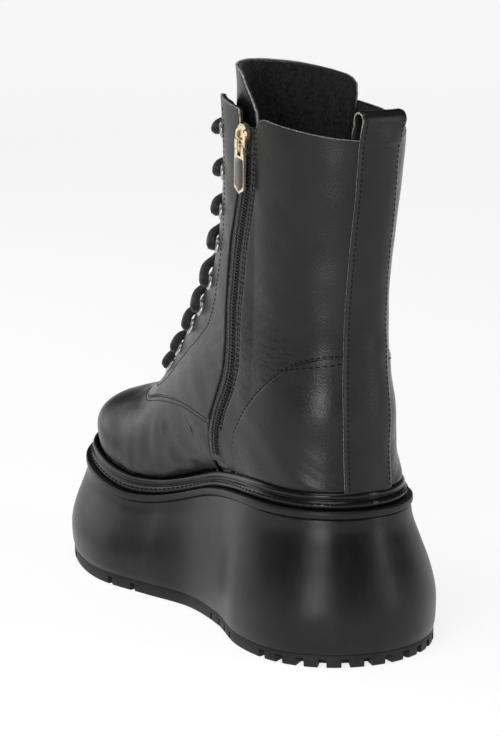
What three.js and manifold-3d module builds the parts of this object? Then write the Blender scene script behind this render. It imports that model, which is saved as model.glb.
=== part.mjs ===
// Platform boot for the right foot, a lace-up with an inside zip, built as an assembly of its pieces.
// Millimetres. +X points to the toe, +Y to the inner (medial) side of the foot, +Z up, floor at z = 0.
import * as THREE from 'three';
import { mergeVertices } from 'three/addons/utils/BufferGeometryUtils.js';
import Module from 'manifold-3d';

const wasm = await Module();
wasm.setup();

// A table: its column names, then a row of numbers for each section.
function table(names, ...rows) {
  return rows.map((row) => Object.fromEntries(names.map((name, i) => [name, row[i]])));
}

// Driving sizes. The last stands with the back of its heel at x = 0 in the tables below.
const FOOT_LENGTH = 240; // feather line (edge where upper meets sole), heel to toe
const HEEL_SEAT = 79.7; // feather line above the floor under the heel
const BALL_SEAT = 55.8; // feather line above the floor under the ball of the foot
const ARCH_RISE = 3.2; // extra height of the feather line at the waist
const TIP_RISE = 13; // extra height of the feather line at the tip of the toe
const TREAD_SPRING = 6; // how far the tread leaves the floor under the tip of the toe
const OUTSOLE = 6.2; // thickness of the tread layer
const LIP_DROP = 11.9; // underside of the midsole lip, below the feather line
const WELT_DROP = 8.1; // underside of the welt, below the feather line
const LIP_REACH = 6.9; // how far the midsole lip stands out from the feather line
const WALL_REACH = 5.9; // how far the platform wall stands out right below the lip
const SWELL = 1.3; // how far the platform wall swells past its foot
const INSOLE = 3;
const WALL = 2.4; // leather and lining of the upper
const GAP = 0.3; // clearance between neighbouring pieces
const ORIGIN = new THREE.Vector3(117.6, -2.8, 0); // middle of the floor print, in the last's own frame

// Sole outline, a row for each station from heel to toe: half widths of the feather line, and how
// far the tread stands out from it, on the inner (medial) and outer (lateral) sides.
const SOLE = table(
  ['x', 'medial', 'lateral', 'medialFlare', 'lateralFlare'],
  [0, 0, 0, 17.5, 17],
  [5, 17, 16, 18, 17],
  [19, 28.5, 28, 17.5, 17],
  [43, 34, 33.5, 13.5, 16.5],
  [76, 30.5, 36, 9, 14],
  [112, 25.5, 41, 12, 12],
  [145, 30.5, 45.5, 15.5, 12],
  [174, 37, 47, 16.5, 12.5],
  [199, 37.5, 43.5, 15, 13],
  [222, 31, 32, 14, 13],
  [235, 17.5, 17, 13, 13],
  [FOOT_LENGTH, 0, 0, 12.5, 12.5],
);
const HALF = SOLE.length - 1; // spans of the outline on each side
const RIM_POINTS = 52;

// Platform wall, from its foot (0) to the lip (1): share of the way from the lip's reach to the tread.
const PLATFORM_WALL = table(
  ['height', 'spread', 'swell'],
  [0, 1, 0],
  [0.1, 1, 0.7],
  [0.3, 0.97, 1],
  [0.5, 0.75, 0.8],
  [0.7, 0.4, 0.4],
  [0.87, 0.1, 0.1],
  [1, 0, 0],
);

// Upper, a row for each section of a fan that turns from the toe, round the instep, to the collar.
// A section runs from its ridge point (toe cap, vamp, instep, shin) round the side to its edge: a
// place on the feather line, counted in outline spans back from the toe, and past the heel a point
// on the back seam. medial and lateral are its half widths, belly is how far down it is widest, and
// crown and tail are the powers of the curves above and below that place.
const UPPER = table(
  ['ridgeX', 'ridgeY', 'ridgeZ', 'medial', 'lateral', 'belly', 'crown', 'tail', 'edge', 'backX', 'backZ'],
  [FOOT_LENGTH, 0, BALL_SEAT + TIP_RISE, 0, 0, 0.7, 2, 2, 0],
  [240.5, 1, 75, 14.5, 13.5, 0.7, 2.1, 2, 0.8],
  [236.5, 1, 83, 25, 25, 0.72, 2.15, 2, 1.5],
  [227, 0, 89.5, 33, 34, 0.75, 2.15, 2, 2.2],
  [213, -1, 94, 38, 42, 0.78, 2.1, 2, 2.9],
  [198, -2, 97.5, 39, 46, 0.8, 2.05, 2, 3.6],
  [184, -1, 103, 38, 46.5, 0.8, 2, 2, 4.4],
  [172, 0, 112.5, 36, 45, 0.78, 2, 2, 5.2],
  [160, 1, 125, 35, 42, 0.76, 2, 2, 6.1],
  [149, 2, 138, 35.5, 38, 0.73, 2, 2, 7],
  [138, 3, 151, 36, 34, 0.7, 2, 2, 8],
  [129, 4, 163, 36, 32, 0.66, 2, 2, 9.3],
  [120.5, 5, 175, 35.5, 30.5, 0.62, 2, 2.1, 11, 0, HEEL_SEAT],
  [112, 6, 187, 34.5, 28.5, 0.58, 2, 2.2, 11, 1.5, 105],
  [105.5, 6.5, 200, 33, 27, 0.55, 2.08, 2.2, 11, 2, 131],
  [99.5, 7, 214, 33.5, 27, 0.53, 2.12, 2.1, 11, 0.8, 160],
  [95, 8, 229, 34.5, 28.5, 0.52, 2.16, 2, 11, -3, 190],
  [91.5, 9, 245, 35.8, 30.5, 0.5, 2.2, 2, 11, -7.5, 218],
  [90, 9.5, 261, 37, 31.5, 0.5, 2.2, 2, 11, -10.7, 242.2],
);
const HEEL_ROW = 12; // the section whose edge is the back of the heel
const COLLAR_ROW = UPPER.length - 1;

// --- helpers ---------------------------------------------------------------------------------

// Smooth value between four neighbours (a Catmull-Rom span).
function span(before, a, b, after, t) {
  const rise = (b - before) / 2;
  const fall = (after - a) / 2;
  const bend = 2 * (a - b) + rise + fall;
  return ((bend * t + 3 * (b - a) - 2 * rise - fall) * t + rise) * t + a;
}

// A column of a table at a place counted in rows, on a smooth curve through the rows.
function read(rows, name, place) {
  const i = Math.max(0, Math.min(Math.floor(place), rows.length - 2));
  const a = rows[i][name];
  const b = rows[i + 1][name];
  const before = rows[i - 1]?.[name] ?? 2 * a - b;
  const after = rows[i + 2]?.[name] ?? 2 * b - a;
  return span(before, a, b, after, place - i);
}

function ease(t) {
  const k = Math.max(0, Math.min(1, t));
  return k * k * (3 - 2 * k);
}

// A bare indexed geometry from points and triangles, with coincident points merged.
function fromFaces(points, faces) {
  const geometry = new THREE.BufferGeometry();
  geometry.setAttribute('position', new THREE.Float32BufferAttribute(points.flatMap((p) => p.toArray()), 3));
  geometry.setIndex(faces.flat());
  const merged = mergeVertices(geometry, 1e-3);
  const kept = [];
  const index = merged.index.array;
  for (let i = 0; i < index.length; i += 3) {
    const [a, b, c] = index.slice(i, i + 3);
    if (a !== b && b !== c && c !== a) kept.push(a, b, c);
  }
  merged.setIndex(kept);
  return merged;
}

function volume(geometry) {
  const position = geometry.attributes.position;
  const [a, b, c] = [new THREE.Vector3(), new THREE.Vector3(), new THREE.Vector3()];
  let sum = 0;
  for (let i = 0; i < geometry.index.count; i += 3) {
    [a, b, c].forEach((p, k) => p.fromBufferAttribute(position, geometry.index.getX(i + k)));
    sum += a.dot(b.cross(c)) / 6;
  }
  return sum;
}

function facingOut(geometry) {
  if (volume(geometry) >= 0) return geometry;
  const index = Array.from(geometry.index.array);
  for (let i = 0; i < index.length; i += 3) [index[i], index[i + 1]] = [index[i + 1], index[i]];
  geometry.setIndex(index);
  return geometry;
}

// A closed body through rings with equal numbers of points. Its end faces are ladders: the first
// half of a ring is joined to its second half, point by point.
function loft(rings) {
  const size = rings[0].length;
  const points = rings.flat();
  const faces = [];
  for (let r = 0; r + 1 < rings.length; r++) {
    for (let i = 0; i < size; i++) {
      const [a, b] = [r * size + i, r * size + ((i + 1) % size)];
      faces.push([a, b, b + size], [a, b + size, a + size]);
    }
  }
  const last = points.length - size;
  for (let i = 0; i + 1 < size / 2; i++) {
    const [a, b, c, d] = [i, i + 1, size - 2 - i, size - 1 - i];
    faces.push([a, c, b], [a, d, c]);
    faces.push([last + a, last + b, last + c], [last + a, last + c, last + d]);
  }
  return facingOut(fromFaces(points, faces));
}

// A closed ring body (an endless moulding): the same open section is carried round a closed path.
function hoop(rings) {
  const size = rings[0].length;
  const points = rings.flat();
  const faces = [];
  rings.forEach((_, r) => {
    const [here, next] = [r * size, ((r + 1) % rings.length) * size];
    for (let i = 0; i < size; i++) {
      const j = (i + 1) % size;
      faces.push([here + i, here + j, next + j], [here + i, next + j, next + i]);
    }
  });
  return facingOut(fromFaces(points, faces));
}

// A wall between two depths below an open surface, closed along the surface's free edges.
function thicken(surface, near, far) {
  surface.computeVertexNormals();
  const position = surface.attributes.position;
  const normal = surface.attributes.normal;
  const depth = (i, d) => new THREE.Vector3()
    .fromBufferAttribute(normal, i)
    .multiplyScalar(-d)
    .add(new THREE.Vector3().fromBufferAttribute(position, i));
  const count = position.count;
  const indices = Array.from({ length: count }, (_, i) => i);
  const points = [...indices.map((i) => depth(i, near)), ...indices.map((i) => depth(i, far))];
  const index = Array.from(surface.index.array);
  const used = new Set();
  const edges = [];
  const faces = [];
  for (let i = 0; i < index.length; i += 3) {
    const corner = index.slice(i, i + 3);
    faces.push(corner, [corner[1] + count, corner[0] + count, corner[2] + count]);
    corner.forEach((a, k) => {
      const b = corner[(k + 1) % 3];
      used.add(`${a} ${b}`);
      edges.push([a, b]);
    });
  }
  for (const [a, b] of edges) {
    if (!used.has(`${b} ${a}`)) faces.push([b, a, a + count], [b, a + count, b + count]);
  }
  return facingOut(fromFaces(points, faces));
}

function solid(geometry) {
  const bare = geometry.clone();
  bare.deleteAttribute('normal');
  bare.deleteAttribute('uv');
  const merged = mergeVertices(bare, 1e-4);
  const mesh = new wasm.Mesh({
    numProp: 3,
    vertProperties: Float32Array.from(merged.attributes.position.array),
    triVerts: Uint32Array.from(merged.index.array),
  });
  return new wasm.Manifold(mesh);
}

const SLIVER = 0.05; // edges shorter than this, left by a cut, are closed up

// The geometry of a solid, with the two ends of each very short edge made one point.
function fromSolid(body) {
  const mesh = body.simplify(SLIVER).getMesh();
  const corners = Array.from(mesh.triVerts);
  const place = Array.from({ length: mesh.vertProperties.length / 3 }, (_, i) => (
    new THREE.Vector3().fromArray(mesh.vertProperties, 3 * i)
  ));
  const stands = place.map((_, i) => i);
  const kept = (i) => (stands[i] === i ? i : kept(stands[i]));
  const faces = [];
  for (let i = 0; i < corners.length; i += 3) faces.push(corners.slice(i, i + 3));
  for (const face of faces) {
    face.forEach((corner, k) => {
      const [a, b] = [kept(corner), kept(face[(k + 1) % 3])];
      if (a !== b && place[a].distanceTo(place[b]) < SLIVER) stands[Math.max(a, b)] = Math.min(a, b);
    });
  }
  return fromFaces(place, faces.map((face) => face.map(kept)));
}

// --- the last: sole outline and its heights --------------------------------------------------

const controls = [
  ...SOLE.map((row) => new THREE.Vector3(row.x, row.medial, row.medialFlare)),
  ...SOLE.slice(1, -1).reverse().map((row) => new THREE.Vector3(row.x, -row.lateral, row.lateralFlare)),
];
const outlineCurve = new THREE.CatmullRomCurve3(controls, true, 'catmullrom', 0.5);

// Place on the outline, counted in spans from the back of the heel, up the inner side and round.
function outlineAt(place, reach = 0, flareShare = 0) {
  const u = THREE.MathUtils.euclideanModulo(place / controls.length, 1);
  const point = outlineCurve.getPoint(u);
  const along = outlineCurve.getTangent(u);
  const out = new THREE.Vector2(-along.y, along.x).normalize();
  const offset = reach + flareShare * point.z;
  return new THREE.Vector2(point.x + out.x * offset, point.y + out.y * offset);
}

function featherZ(x) {
  const t = x / FOOT_LENGTH;
  const pitch = (HEEL_SEAT - BALL_SEAT) * ease((0.7 - t) / 0.55);
  const arch = ARCH_RISE * Math.exp(-(((t - 0.42) / 0.16) ** 2));
  const tip = TIP_RISE * Math.max(0, (t - 0.7) / 0.3) ** 1.5;
  return BALL_SEAT + pitch + arch + tip;
}

function treadZ(x) {
  const start = 0.74 * FOOT_LENGTH;
  return TREAD_SPRING * Math.max(0, (x - start) / (FOOT_LENGTH + 12 - start)) ** 2;
}

// One ring of the sole: the outline moved out by a reach and a share of the flare, at height(x).
function rim(reach, flareShare, height) {
  return Array.from({ length: RIM_POINTS }, (_, i) => {
    const place = ((i + 0.5) / RIM_POINTS) * controls.length;
    const point = outlineAt(place, reach, flareShare);
    return new THREE.Vector3(point.x, point.y, height(point.x));
  });
}

// --- upper surface ---------------------------------------------------------------------------

// Point of the upper at a section (row place) and a side place: 0 on the ridge, +1 and -1 on the
// inner and outer edges. Places past 1 are the skirt that goes down inside the welt.
function upperAt(row, side) {
  const inner = side >= 0;
  const turn = Math.min(2, Math.abs(side) * 2);
  const value = (name) => read(UPPER, name, row);
  const ridge = new THREE.Vector3(value('ridgeX'), value('ridgeY'), value('ridgeZ'));
  const edge = new THREE.Vector3(0, 0, 0);
  if (row < HEEL_ROW) {
    const spans = Math.max(0, Math.min(HALF, value('edge')));
    const place = outlineAt(inner ? HALF - spans : HALF + spans);
    edge.set(place.x, place.y, featherZ(place.x));
  } else {
    edge.set(value('backX'), 0, value('backZ'));
  }
  const widest = value('belly');
  const half = inner ? value('medial') : -value('lateral');
  const angle = (turn <= 1 ? turn : turn - 1) * (Math.PI / 2);
  const power = 2 / (turn <= 1 ? value('crown') : value('tail'));
  const [run, cross] = [Math.sin(angle) ** power, Math.max(0, Math.cos(angle)) ** power];
  const way = turn <= 1 ? widest * (1 - cross) : widest + (1 - widest) * run;
  const y = turn <= 1 ? ridge.y * cross + half * run : edge.y + (half - edge.y) * cross;
  return new THREE.Vector3(
    ridge.x + (edge.x - ridge.x) * way,
    y,
    ridge.z + (edge.z - ridge.z) * way,
  );
}

const SECTION_STEPS = 2; // sections made between two rows
const SIDE_STEPS = 12; // strips on each side of the ridge
const SKIRT = WELT_DROP - GAP; // how far the upper goes down inside the welt

// Sheet of the upper's surface as an open indexed geometry.
function upperSheet() {
  const sections = COLLAR_ROW * SECTION_STEPS;
  const heel = HEEL_ROW * SECTION_STEPS;
  const columns = 2 * SIDE_STEPS;
  const points = [];
  const faces = [];
  for (let r = 0; r <= sections; r++) {
    for (let c = 0; c <= columns; c++) points.push(upperAt(r / SECTION_STEPS, c / SIDE_STEPS - 1));
  }
  const at = (r, c) => r * (columns + 1) + c;
  for (let r = 0; r < sections; r++) {
    for (let c = 0; c < columns; c++) {
      faces.push([at(r, c), at(r, c + 1), at(r + 1, c + 1)], [at(r, c), at(r + 1, c + 1), at(r + 1, c)]);
    }
  }
  const skirt = points.length;
  for (const c of [0, columns]) {
    for (let r = 0; r <= heel; r++) {
      const edge = points[at(r, c)];
      points.push(new THREE.Vector3(edge.x, edge.y, edge.z - SKIRT));
    }
  }
  for (let r = 0; r < heel; r++) {
    const outer = [skirt + r, skirt + r + 1, at(r + 1, 0), at(r, 0)];
    const inner = [at(r, columns), at(r + 1, columns), skirt + heel + 2 + r, skirt + heel + 1 + r];
    for (const [a, b, c, d] of [outer, inner]) faces.push([a, d, c], [a, c, b]);
  }
  return fromFaces(points, faces);
}

// Outward direction of the upper at a place, from its neighbours.
function normalAt(row, side) {
  const step = 0.02;
  const up = upperAt(row + step, side).sub(upperAt(row - step, side));
  const round = upperAt(row, side + step).sub(upperAt(row, side - step));
  return up.cross(round).normalize().negate();
}

// --- pieces ----------------------------------------------------------------------------------

const boot = new THREE.Group();

function add(name, geometry, colour, roughness, metalness = 0) {
  const material = new THREE.MeshStandardMaterial({ color: colour, roughness, metalness });
  const mesh = new THREE.Mesh(geometry, material);
  mesh.name = name;
  boot.add(mesh);
}

const LEATHER = 0x1b1b1c;
const RUBBER = 0x161617;
const GOLD = 0xc9b489;
const CORD = 0x121212;

const lipUnder = (x) => featherZ(x) - LIP_DROP;
const lipTop = (x) => featherZ(x) - WELT_DROP;

// Notches round the tread: where they start and end, in outline spans from the back of the heel.
const NOTCHES = table(
  ['from', 'to', 'count', 'width'],
  [-2.5, 2.5, 13, 4.5],
  [3.15, 4.35, 4, 2.4],
  [6.05, 7.15, 2, 4],
  [8.25, 13.75, 11, 4],
  [14.85, 15.95, 2, 4],
  [17.65, 18.85, 4, 2.4],
);
const NOTCH_HEIGHT = 4.2;
const NOTCH_DEPTH = 8;

function outsole() {
  const under = rim(0, 1, treadZ);
  const bevel = rim(-0.8, 1, treadZ);
  const top = rim(0, 1, (x) => treadZ(x) + OUTSOLE);
  let body = solid(loft([bevel, under.map((p) => p.add(new THREE.Vector3(0, 0, 0.8))), top]));
  for (const { from, to, count, width } of NOTCHES) {
    for (let i = 0; i < count; i++) {
      const place = from + ((i + 0.5) / count) * (to - from);
      const edge = outlineAt(place, 0, 1);
      const within = outlineAt(place, -NOTCH_DEPTH, 1);
      const notch = new THREE.BoxGeometry(2 * NOTCH_DEPTH, width, 2 * NOTCH_HEIGHT);
      notch.rotateZ(Math.atan2(edge.y - within.y, edge.x - within.x));
      notch.translate(edge.x, edge.y, treadZ(edge.x));
      body = body.subtract(solid(notch));
    }
  }
  return fromSolid(body);
}

function platform() {
  const rings = PLATFORM_WALL.map(({ height, spread, swell }) => rim(
    WALL_REACH * (1 - spread) + SWELL * swell,
    spread,
    (x) => {
      const foot = treadZ(x) + OUTSOLE + GAP;
      return foot + (lipUnder(x) - GAP - foot) * height;
    },
  ));
  return loft(rings);
}

function midsole() {
  return loft([
    rim(LIP_REACH - 0.6, 0, lipUnder),
    rim(LIP_REACH, 0, (x) => lipUnder(x) + 0.7),
    rim(LIP_REACH, 0, (x) => lipTop(x) - 0.9),
    rim(LIP_REACH - 0.8, 0, (x) => lipTop(x) - 0.1),
  ]);
}

// Cross-section of the welt: reach from the feather line, height above the midsole.
const WELT = table(
  ['reach', 'rise'],
  [1.2, 0.2],
  [3.5, 0.2],
  [4.1, 1.8],
  [3.5, 3.6],
  [2.5, 4.3],
  [3, 6],
  [2.4, 7.4],
  [1.2, 7.8],
);

function welt() {
  const profile = WELT.map(({ reach, rise }) => rim(reach, 0, (x) => lipTop(x) + rise));
  return hoop(Array.from({ length: RIM_POINTS }, (_, i) => profile.map((ring) => ring[i])));
}

function insole() {
  const inset = -(WALL + 1.5);
  return loft([
    rim(inset, 0, (x) => lipTop(x) + GAP),
    rim(inset, 0, (x) => lipTop(x) + GAP + INSOLE),
  ]);
}

const fullWall = solid(thicken(upperSheet(), 0, WALL));

// Throat: the opening between the facings, from the vamp point up to the collar.
const THROAT = table(
  ['row', 'halfGap'],
  [5.8, 1.5],
  [6.3, 5],
  [7, 8],
  [8, 9.5],
  [10, 11],
  [12, 12],
  [15, 12.5],
  [18, 13],
  [18.6, 13],
);

function throatCutter() {
  const reach = 11;
  return solid(loft(THROAT.map(({ row, halfGap }) => {
    const centre = upperAt(row, 0);
    const out = normalAt(row, 0).multiplyScalar(reach);
    const across = new THREE.Vector3(0, halfGap, 0);
    return [
      centre.clone().add(out).add(across),
      centre.clone().sub(out).add(across),
      centre.clone().sub(out).sub(across),
      centre.clone().add(out).sub(across),
    ];
  })));
}

// Zip on the inner side, from above the collar down to the welt, as seen from the side.
const ZIP = table(
  ['x', 'z'],
  [44, 268],
  [45.5, 252],
  [47.5, 236],
  [51, 217],
  [56.5, 203],
  [62, 189],
  [65.5, 176],
  [67.3, 160],
  [67, 143],
  [68, 128],
  [72.5, 117],
  [79, 107],
  [83.5, 97],
  [85, 88],
  [84, 80],
);
const ZIP_SLOT = 11;

function zipCutter(width) {
  return solid(loft(ZIP.map(({ x, z }, i) => {
    const [before, after] = [ZIP[Math.max(0, i - 1)], ZIP[Math.min(ZIP.length - 1, i + 1)]];
    const down = new THREE.Vector2(after.x - before.x, after.z - before.z).normalize();
    const side = new THREE.Vector3(-down.y, 0, down.x).multiplyScalar(width / 2);
    const [near, far] = [new THREE.Vector3(x, 12, z), new THREE.Vector3(x, 60, z)];
    return [near.clone().add(side), far.clone().add(side), far.clone().sub(side), near.clone().sub(side)];
  })));
}

const zipBand = () => fromSolid(fullWall.intersect(zipCutter(ZIP_SLOT - 2 * GAP)));

// Tongue: how far it reaches to both sides, in side places, from under the vamp up to its top.
const TONGUE = table(
  ['row', 'medial', 'lateral'],
  [5.2, 0.14, 0.14],
  [6, 0.22, 0.22],
  [7, 0.26, 0.26],
  [8, 0.27, 0.27],
  [9, 0.27, 0.27],
  [10, 0.27, 0.27],
  [11, 0.27, 0.27],
  [12, 0.27, 0.27],
  [13, 0.27, 0.27],
  [14, 0.27, 0.28],
  [15, 0.27, 0.32],
  [16, 0.32, 0.37],
  [17, 0.42, 0.42],
  [17.5, 0.46, 0.43],
  [17.9, 0.45, 0.43],
  [18.2, 0.42, 0.43],
  [18.45, 0.385, 0.425],
  [18.6, 0.37, 0.4],
  [18.7, 0.355, 0.31],
  [18.8, 0.31, 0.2],
  [18.87, 0.24, 0.13],
  [18.92, 0.16, 0.06],
);
const TONGUE_THICKNESS = 3;
const TONGUE_COLUMNS = 8;
const TONGUE_TUCK = 3.6; // how far its inner side stands in from the collar

// A point under the outer leather, moved in on the zip's side near the collar.
function tonguePoint(row, side) {
  const p = upperAt(row, side);
  p.y -= TONGUE_TUCK * ease((row - 16.4) / 1.2) * ease((side + 0.1) / 0.35);
  return p;
}

function tongue() {
  const points = [];
  const faces = [];
  TONGUE.forEach(({ row, medial, lateral }, r) => {
    for (let c = 0; c <= TONGUE_COLUMNS; c++) {
      points.push(tonguePoint(row, ((medial + lateral) * c) / TONGUE_COLUMNS - lateral));
      if (r === 0 || c === 0) continue;
      const here = r * (TONGUE_COLUMNS + 1) + c;
      const below = here - TONGUE_COLUMNS - 1;
      faces.push([below - 1, below, here], [below - 1, here, here - 1]);
    }
  });
  const depth = WALL + 4 * GAP;
  return thicken(fromFaces(points, faces), depth, depth + TONGUE_THICKNESS);
}

// Pull loop: a strip folded over the back of the collar, seen from the side as a teardrop.
const LOOP_WIDTH = 24;
const LOOP_STRIP = 2;
const LOOP_RISE = 15.5; // top of the loop above the collar
const LOOP_LEGS = 12; // how far its legs reach down inside and outside the wall
const LOOP_HUG = WALL / 2 + 4 * GAP; // from the middle of the wall to the inner face of a leg
const LOOP_OPEN = 8; // clear space at the widest place of the teardrop
const LOOP_TURN = 0.45; // how far the round of the teardrop goes on past level, in radians
const LOOP_BENDS = 10;
const LOOP_LEAN = -0.02; // forward shift of the loop for each unit up from the collar
const LOOP_FLATTEN = 0.8; // share of the collar's curve that the top of the loop loses

// One side of the teardrop, at a distance out from the inner face of the strip.
function loopArch(out) {
  const radius = LOOP_OPEN / 2 + out;
  const springing = LOOP_RISE - LOOP_STRIP - LOOP_OPEN / 2;
  const bend = Array.from({ length: LOOP_BENDS + 1 }, (_, i) => {
    const angle = Math.PI + LOOP_TURN - ((Math.PI + 2 * LOOP_TURN) * i) / LOOP_BENDS;
    return [Math.cos(angle) * radius, springing + Math.sin(angle) * radius];
  });
  const leg = LOOP_HUG + out;
  const line = [[-leg, -LOOP_LEGS], [-leg, 0.5], ...bend, [leg, 0.5], [leg, -LOOP_LEGS]];
  return line.map(([x, z]) => new THREE.Vector2(x + WALL / 2, z));
}

function pullLoop() {
  const [collar, below] = [UPPER[COLLAR_ROW], UPPER[COLLAR_ROW - 1]];
  const rowHeight = collar.backZ - below.backZ;
  const backLean = (collar.backX - below.backX) / rowHeight;
  const section = [...loopArch(LOOP_STRIP), ...loopArch(0).reverse()];
  const steps = 6;
  return loft(Array.from({ length: steps + 1 }, (_, i) => {
    const y = LOOP_WIDTH * (i / steps - 0.5);
    return section.map((p) => {
      const above = Math.max(0, p.y);
      const kept = 1 - LOOP_FLATTEN * ease((1.6 * above) / LOOP_RISE);
      const wrap = backOffset(COLLAR_ROW + Math.min(0, p.y) / rowHeight, y) * kept;
      const lean = backLean * Math.min(0, p.y) + LOOP_LEAN * above;
      return new THREE.Vector3(collar.backX + p.x + lean + wrap, y, collar.backZ + p.y + wrap * 0.15);
    });
  }));
}

// How far the back of the upper curves forward at a sideways distance from the back seam.
function backOffset(row, y) {
  const reach = Math.abs(y);
  let [near, far] = [1, 0.5];
  const sign = y < 0 ? -1 : 1;
  for (let i = 0; i < 24; i++) {
    const middle = (near + far) / 2;
    if (Math.abs(upperAt(row, sign * middle).y) < reach) near = middle;
    else far = middle;
  }
  return upperAt(row, sign * near).x - upperAt(row, 1).x;
}

// Eyelets: nine pairs up the facings, at these section rows, this far round from the ridge.
const EYELETS = table(
  ['row', 'side'],
  [7.5, 0.17],
  [8.45, 0.185],
  [9.7, 0.195],
  [10.75, 0.2],
  [12.05, 0.205],
  [13.45, 0.21],
  [14.6, 0.215],
  [15.8, 0.22],
  [17, 0.225],
);
const EYELET_BORE = 2.3;
const EYELET_FLANGE = 4;
const EYELET_HEIGHT = 1.1;
const LACE = 2.3; // radius of the cord
const LACE_OFFSET = 0.06; // section rows between an eyelet and where a run leaves or reaches it
const LACE_OVER = 1.6; // how much higher the upper run of a crossing passes

// Place and outward direction of an eyelet: pair number, +1 inner or -1 outer side.
function eyeletAt(pair, hand) {
  const { row, side } = EYELETS[pair];
  return { point: upperAt(row, hand * side), out: normalAt(row, hand * side) };
}

function eyelet(pair, hand) {
  const { point, out } = eyeletAt(pair, hand);
  const ring = new THREE.LatheGeometry([
    new THREE.Vector2(EYELET_BORE, 0),
    new THREE.Vector2(EYELET_FLANGE, 0),
    new THREE.Vector2(EYELET_FLANGE - 0.6, EYELET_HEIGHT),
    new THREE.Vector2(EYELET_BORE, EYELET_HEIGHT),
    new THREE.Vector2(EYELET_BORE, 0),
  ], 8);
  const turn = new THREE.Quaternion().setFromUnitVectors(new THREE.Vector3(0, 1, 0), out);
  ring.applyQuaternion(turn);
  ring.translate(...point.addScaledVector(out, 2 * GAP).toArray());
  return fromSolid(solid(facingOut(bareIndexed(ring))));
}

function bareIndexed(geometry) {
  const bare = geometry.clone();
  bare.deleteAttribute('normal');
  bare.deleteAttribute('uv');
  return mergeVertices(bare, 1e-4);
}

// A round cord through points, with few sides.
function cord(points, radius, steps, sides = 6) {
  const section = new THREE.Shape();
  for (let i = 0; i < sides; i++) {
    const angle = (2 * Math.PI * i) / sides;
    const place = [radius * Math.cos(angle), radius * Math.sin(angle)];
    if (i === 0) section.moveTo(...place);
    else section.lineTo(...place);
  }
  section.closePath();
  const path = new THREE.CatmullRomCurve3(points);
  const sweep = new THREE.ExtrudeGeometry(section, { steps, extrudePath: path, bevelEnabled: false });
  return facingOut(bareIndexed(sweep));
}

// One lace run over the throat, from above an eyelet of a pair (on the inner side, hand +1, or the
// outer, -1) to above the opposite eyelet of the next pair, clear of the facings.
function laceRun(pair, hand) {
  const [a, b] = [EYELETS[pair], EYELETS[pair + 1]];
  const clear = LACE + EYELET_HEIGHT + 5 * GAP;
  const [start, end] = [a.row + LACE_OFFSET, b.row - LACE_OFFSET];
  const points = [0, 0.25, 0.5, 0.75, 1].map((t) => {
    const row = start + (end - start) * t;
    const side = hand * (a.side * (1 - t) - b.side * t);
    const over = hand > 0 ? LACE_OVER * Math.sin(Math.PI * t) : 0;
    return upperAt(row, side).addScaledVector(normalAt(row, side), clear + over);
  });
  return solid(cord(points, LACE, 4, 4));
}

// The whole lace as one body: a crossing from each pair of eyelets up to the next pair.
function lace() {
  const crossings = EYELETS.slice(1).flatMap((_, pair) => [1, -1].map((hand) => laceRun(pair, hand)));
  return fromSolid(crossings.reduce((body, run) => body.add(run)));
}

// Zip slider, and the pull tab hinged on the bridge of the slider. Both are drawn in the slider's
// own frame: x across the zip, y out of the leather, z up along the zip.
const SLIDER_ROW = 1.7; // place on the zip table
const SLIDER = { length: 14, top: 9, bottom: 7, lift: 0.5, thickness: 2.4 };
const BRIDGE = { width: 2.4, height: 2.5, thickness: 1, from: -4.6, to: 1 };
const PULL = { length: 24, width: 8.6, shoulder: 3.4, thickness: 1.3, bar: 1.3, hole: 4.6, tip: 2.4 };
const PIVOT = new THREE.Vector3(
  0,
  SLIDER.lift + SLIDER.thickness + GAP + PULL.thickness / 2,
  BRIDGE.from + BRIDGE.thickness + GAP + PULL.bar / 2,
);

const plan = (points) => new THREE.Shape(points.map(([x, z]) => new THREE.Vector2(x, z)));

// A flat plate from its plan in x and z, between two heights above the leather.
function plate(shape, low, high) {
  const geometry = new THREE.ExtrudeGeometry(shape, { depth: high - low, bevelEnabled: false });
  geometry.rotateX(Math.PI / 2);
  geometry.translate(0, high, 0);
  return solid(geometry);
}

function slider() {
  const { length, top, bottom, lift, thickness } = SLIDER;
  const [end, flank] = [length / 2, length * 0.3];
  const face = lift + thickness;
  const half = [
    [bottom * 0.3, -end],
    [bottom / 2, -flank],
    [top / 2, flank * 0.6],
    [top * 0.42, flank * 1.3],
    [top * 0.2, end],
  ];
  const body = plate(plan([...half, ...half.toReversed().map(([x, z]) => [-x, z])]), lift, face);
  const { width, height, thickness: strap, from, to } = BRIDGE;
  const corner = 0.5;
  const arch = (inset) => {
    const [low, high, crown] = [from + inset, to - inset, height + strap - inset];
    const over = [[low + corner, crown], [high - corner, crown]];
    return [[low, 0], [low, crown - corner], ...over, [high, crown - corner], [high, 0]];
  };
  const section = [...arch(0), ...arch(strap).reverse()];
  const bridge = loft([-width / 2, width / 2].map((x) => section.map(
    ([z, y]) => new THREE.Vector3(x, face - 0.2 + y, z),
  )));
  return body.add(solid(bridge));
}

function pull() {
  const { length, width, shoulder, thickness, bar, hole, tip } = PULL;
  const top = PIVOT.z + bar / 2;
  const flank = [[-shoulder, top], [-width / 2, top - bar - hole - 1], [-width / 2, top - length + tip]];
  const outline = plan([...flank, [0, top - length], ...flank.toReversed().map(([x, z]) => [-x, z])]);
  const clear = BRIDGE.width / 2 + GAP;
  outline.holes.push(new THREE.Path([
    new THREE.Vector2(-clear, top - bar),
    new THREE.Vector2(clear, top - bar),
    new THREE.Vector2(clear, top - bar - hole),
    new THREE.Vector2(-clear, top - bar - hole),
  ]));
  return plate(outline, PIVOT.y - thickness / 2, PIVOT.y + thickness / 2);
}

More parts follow.
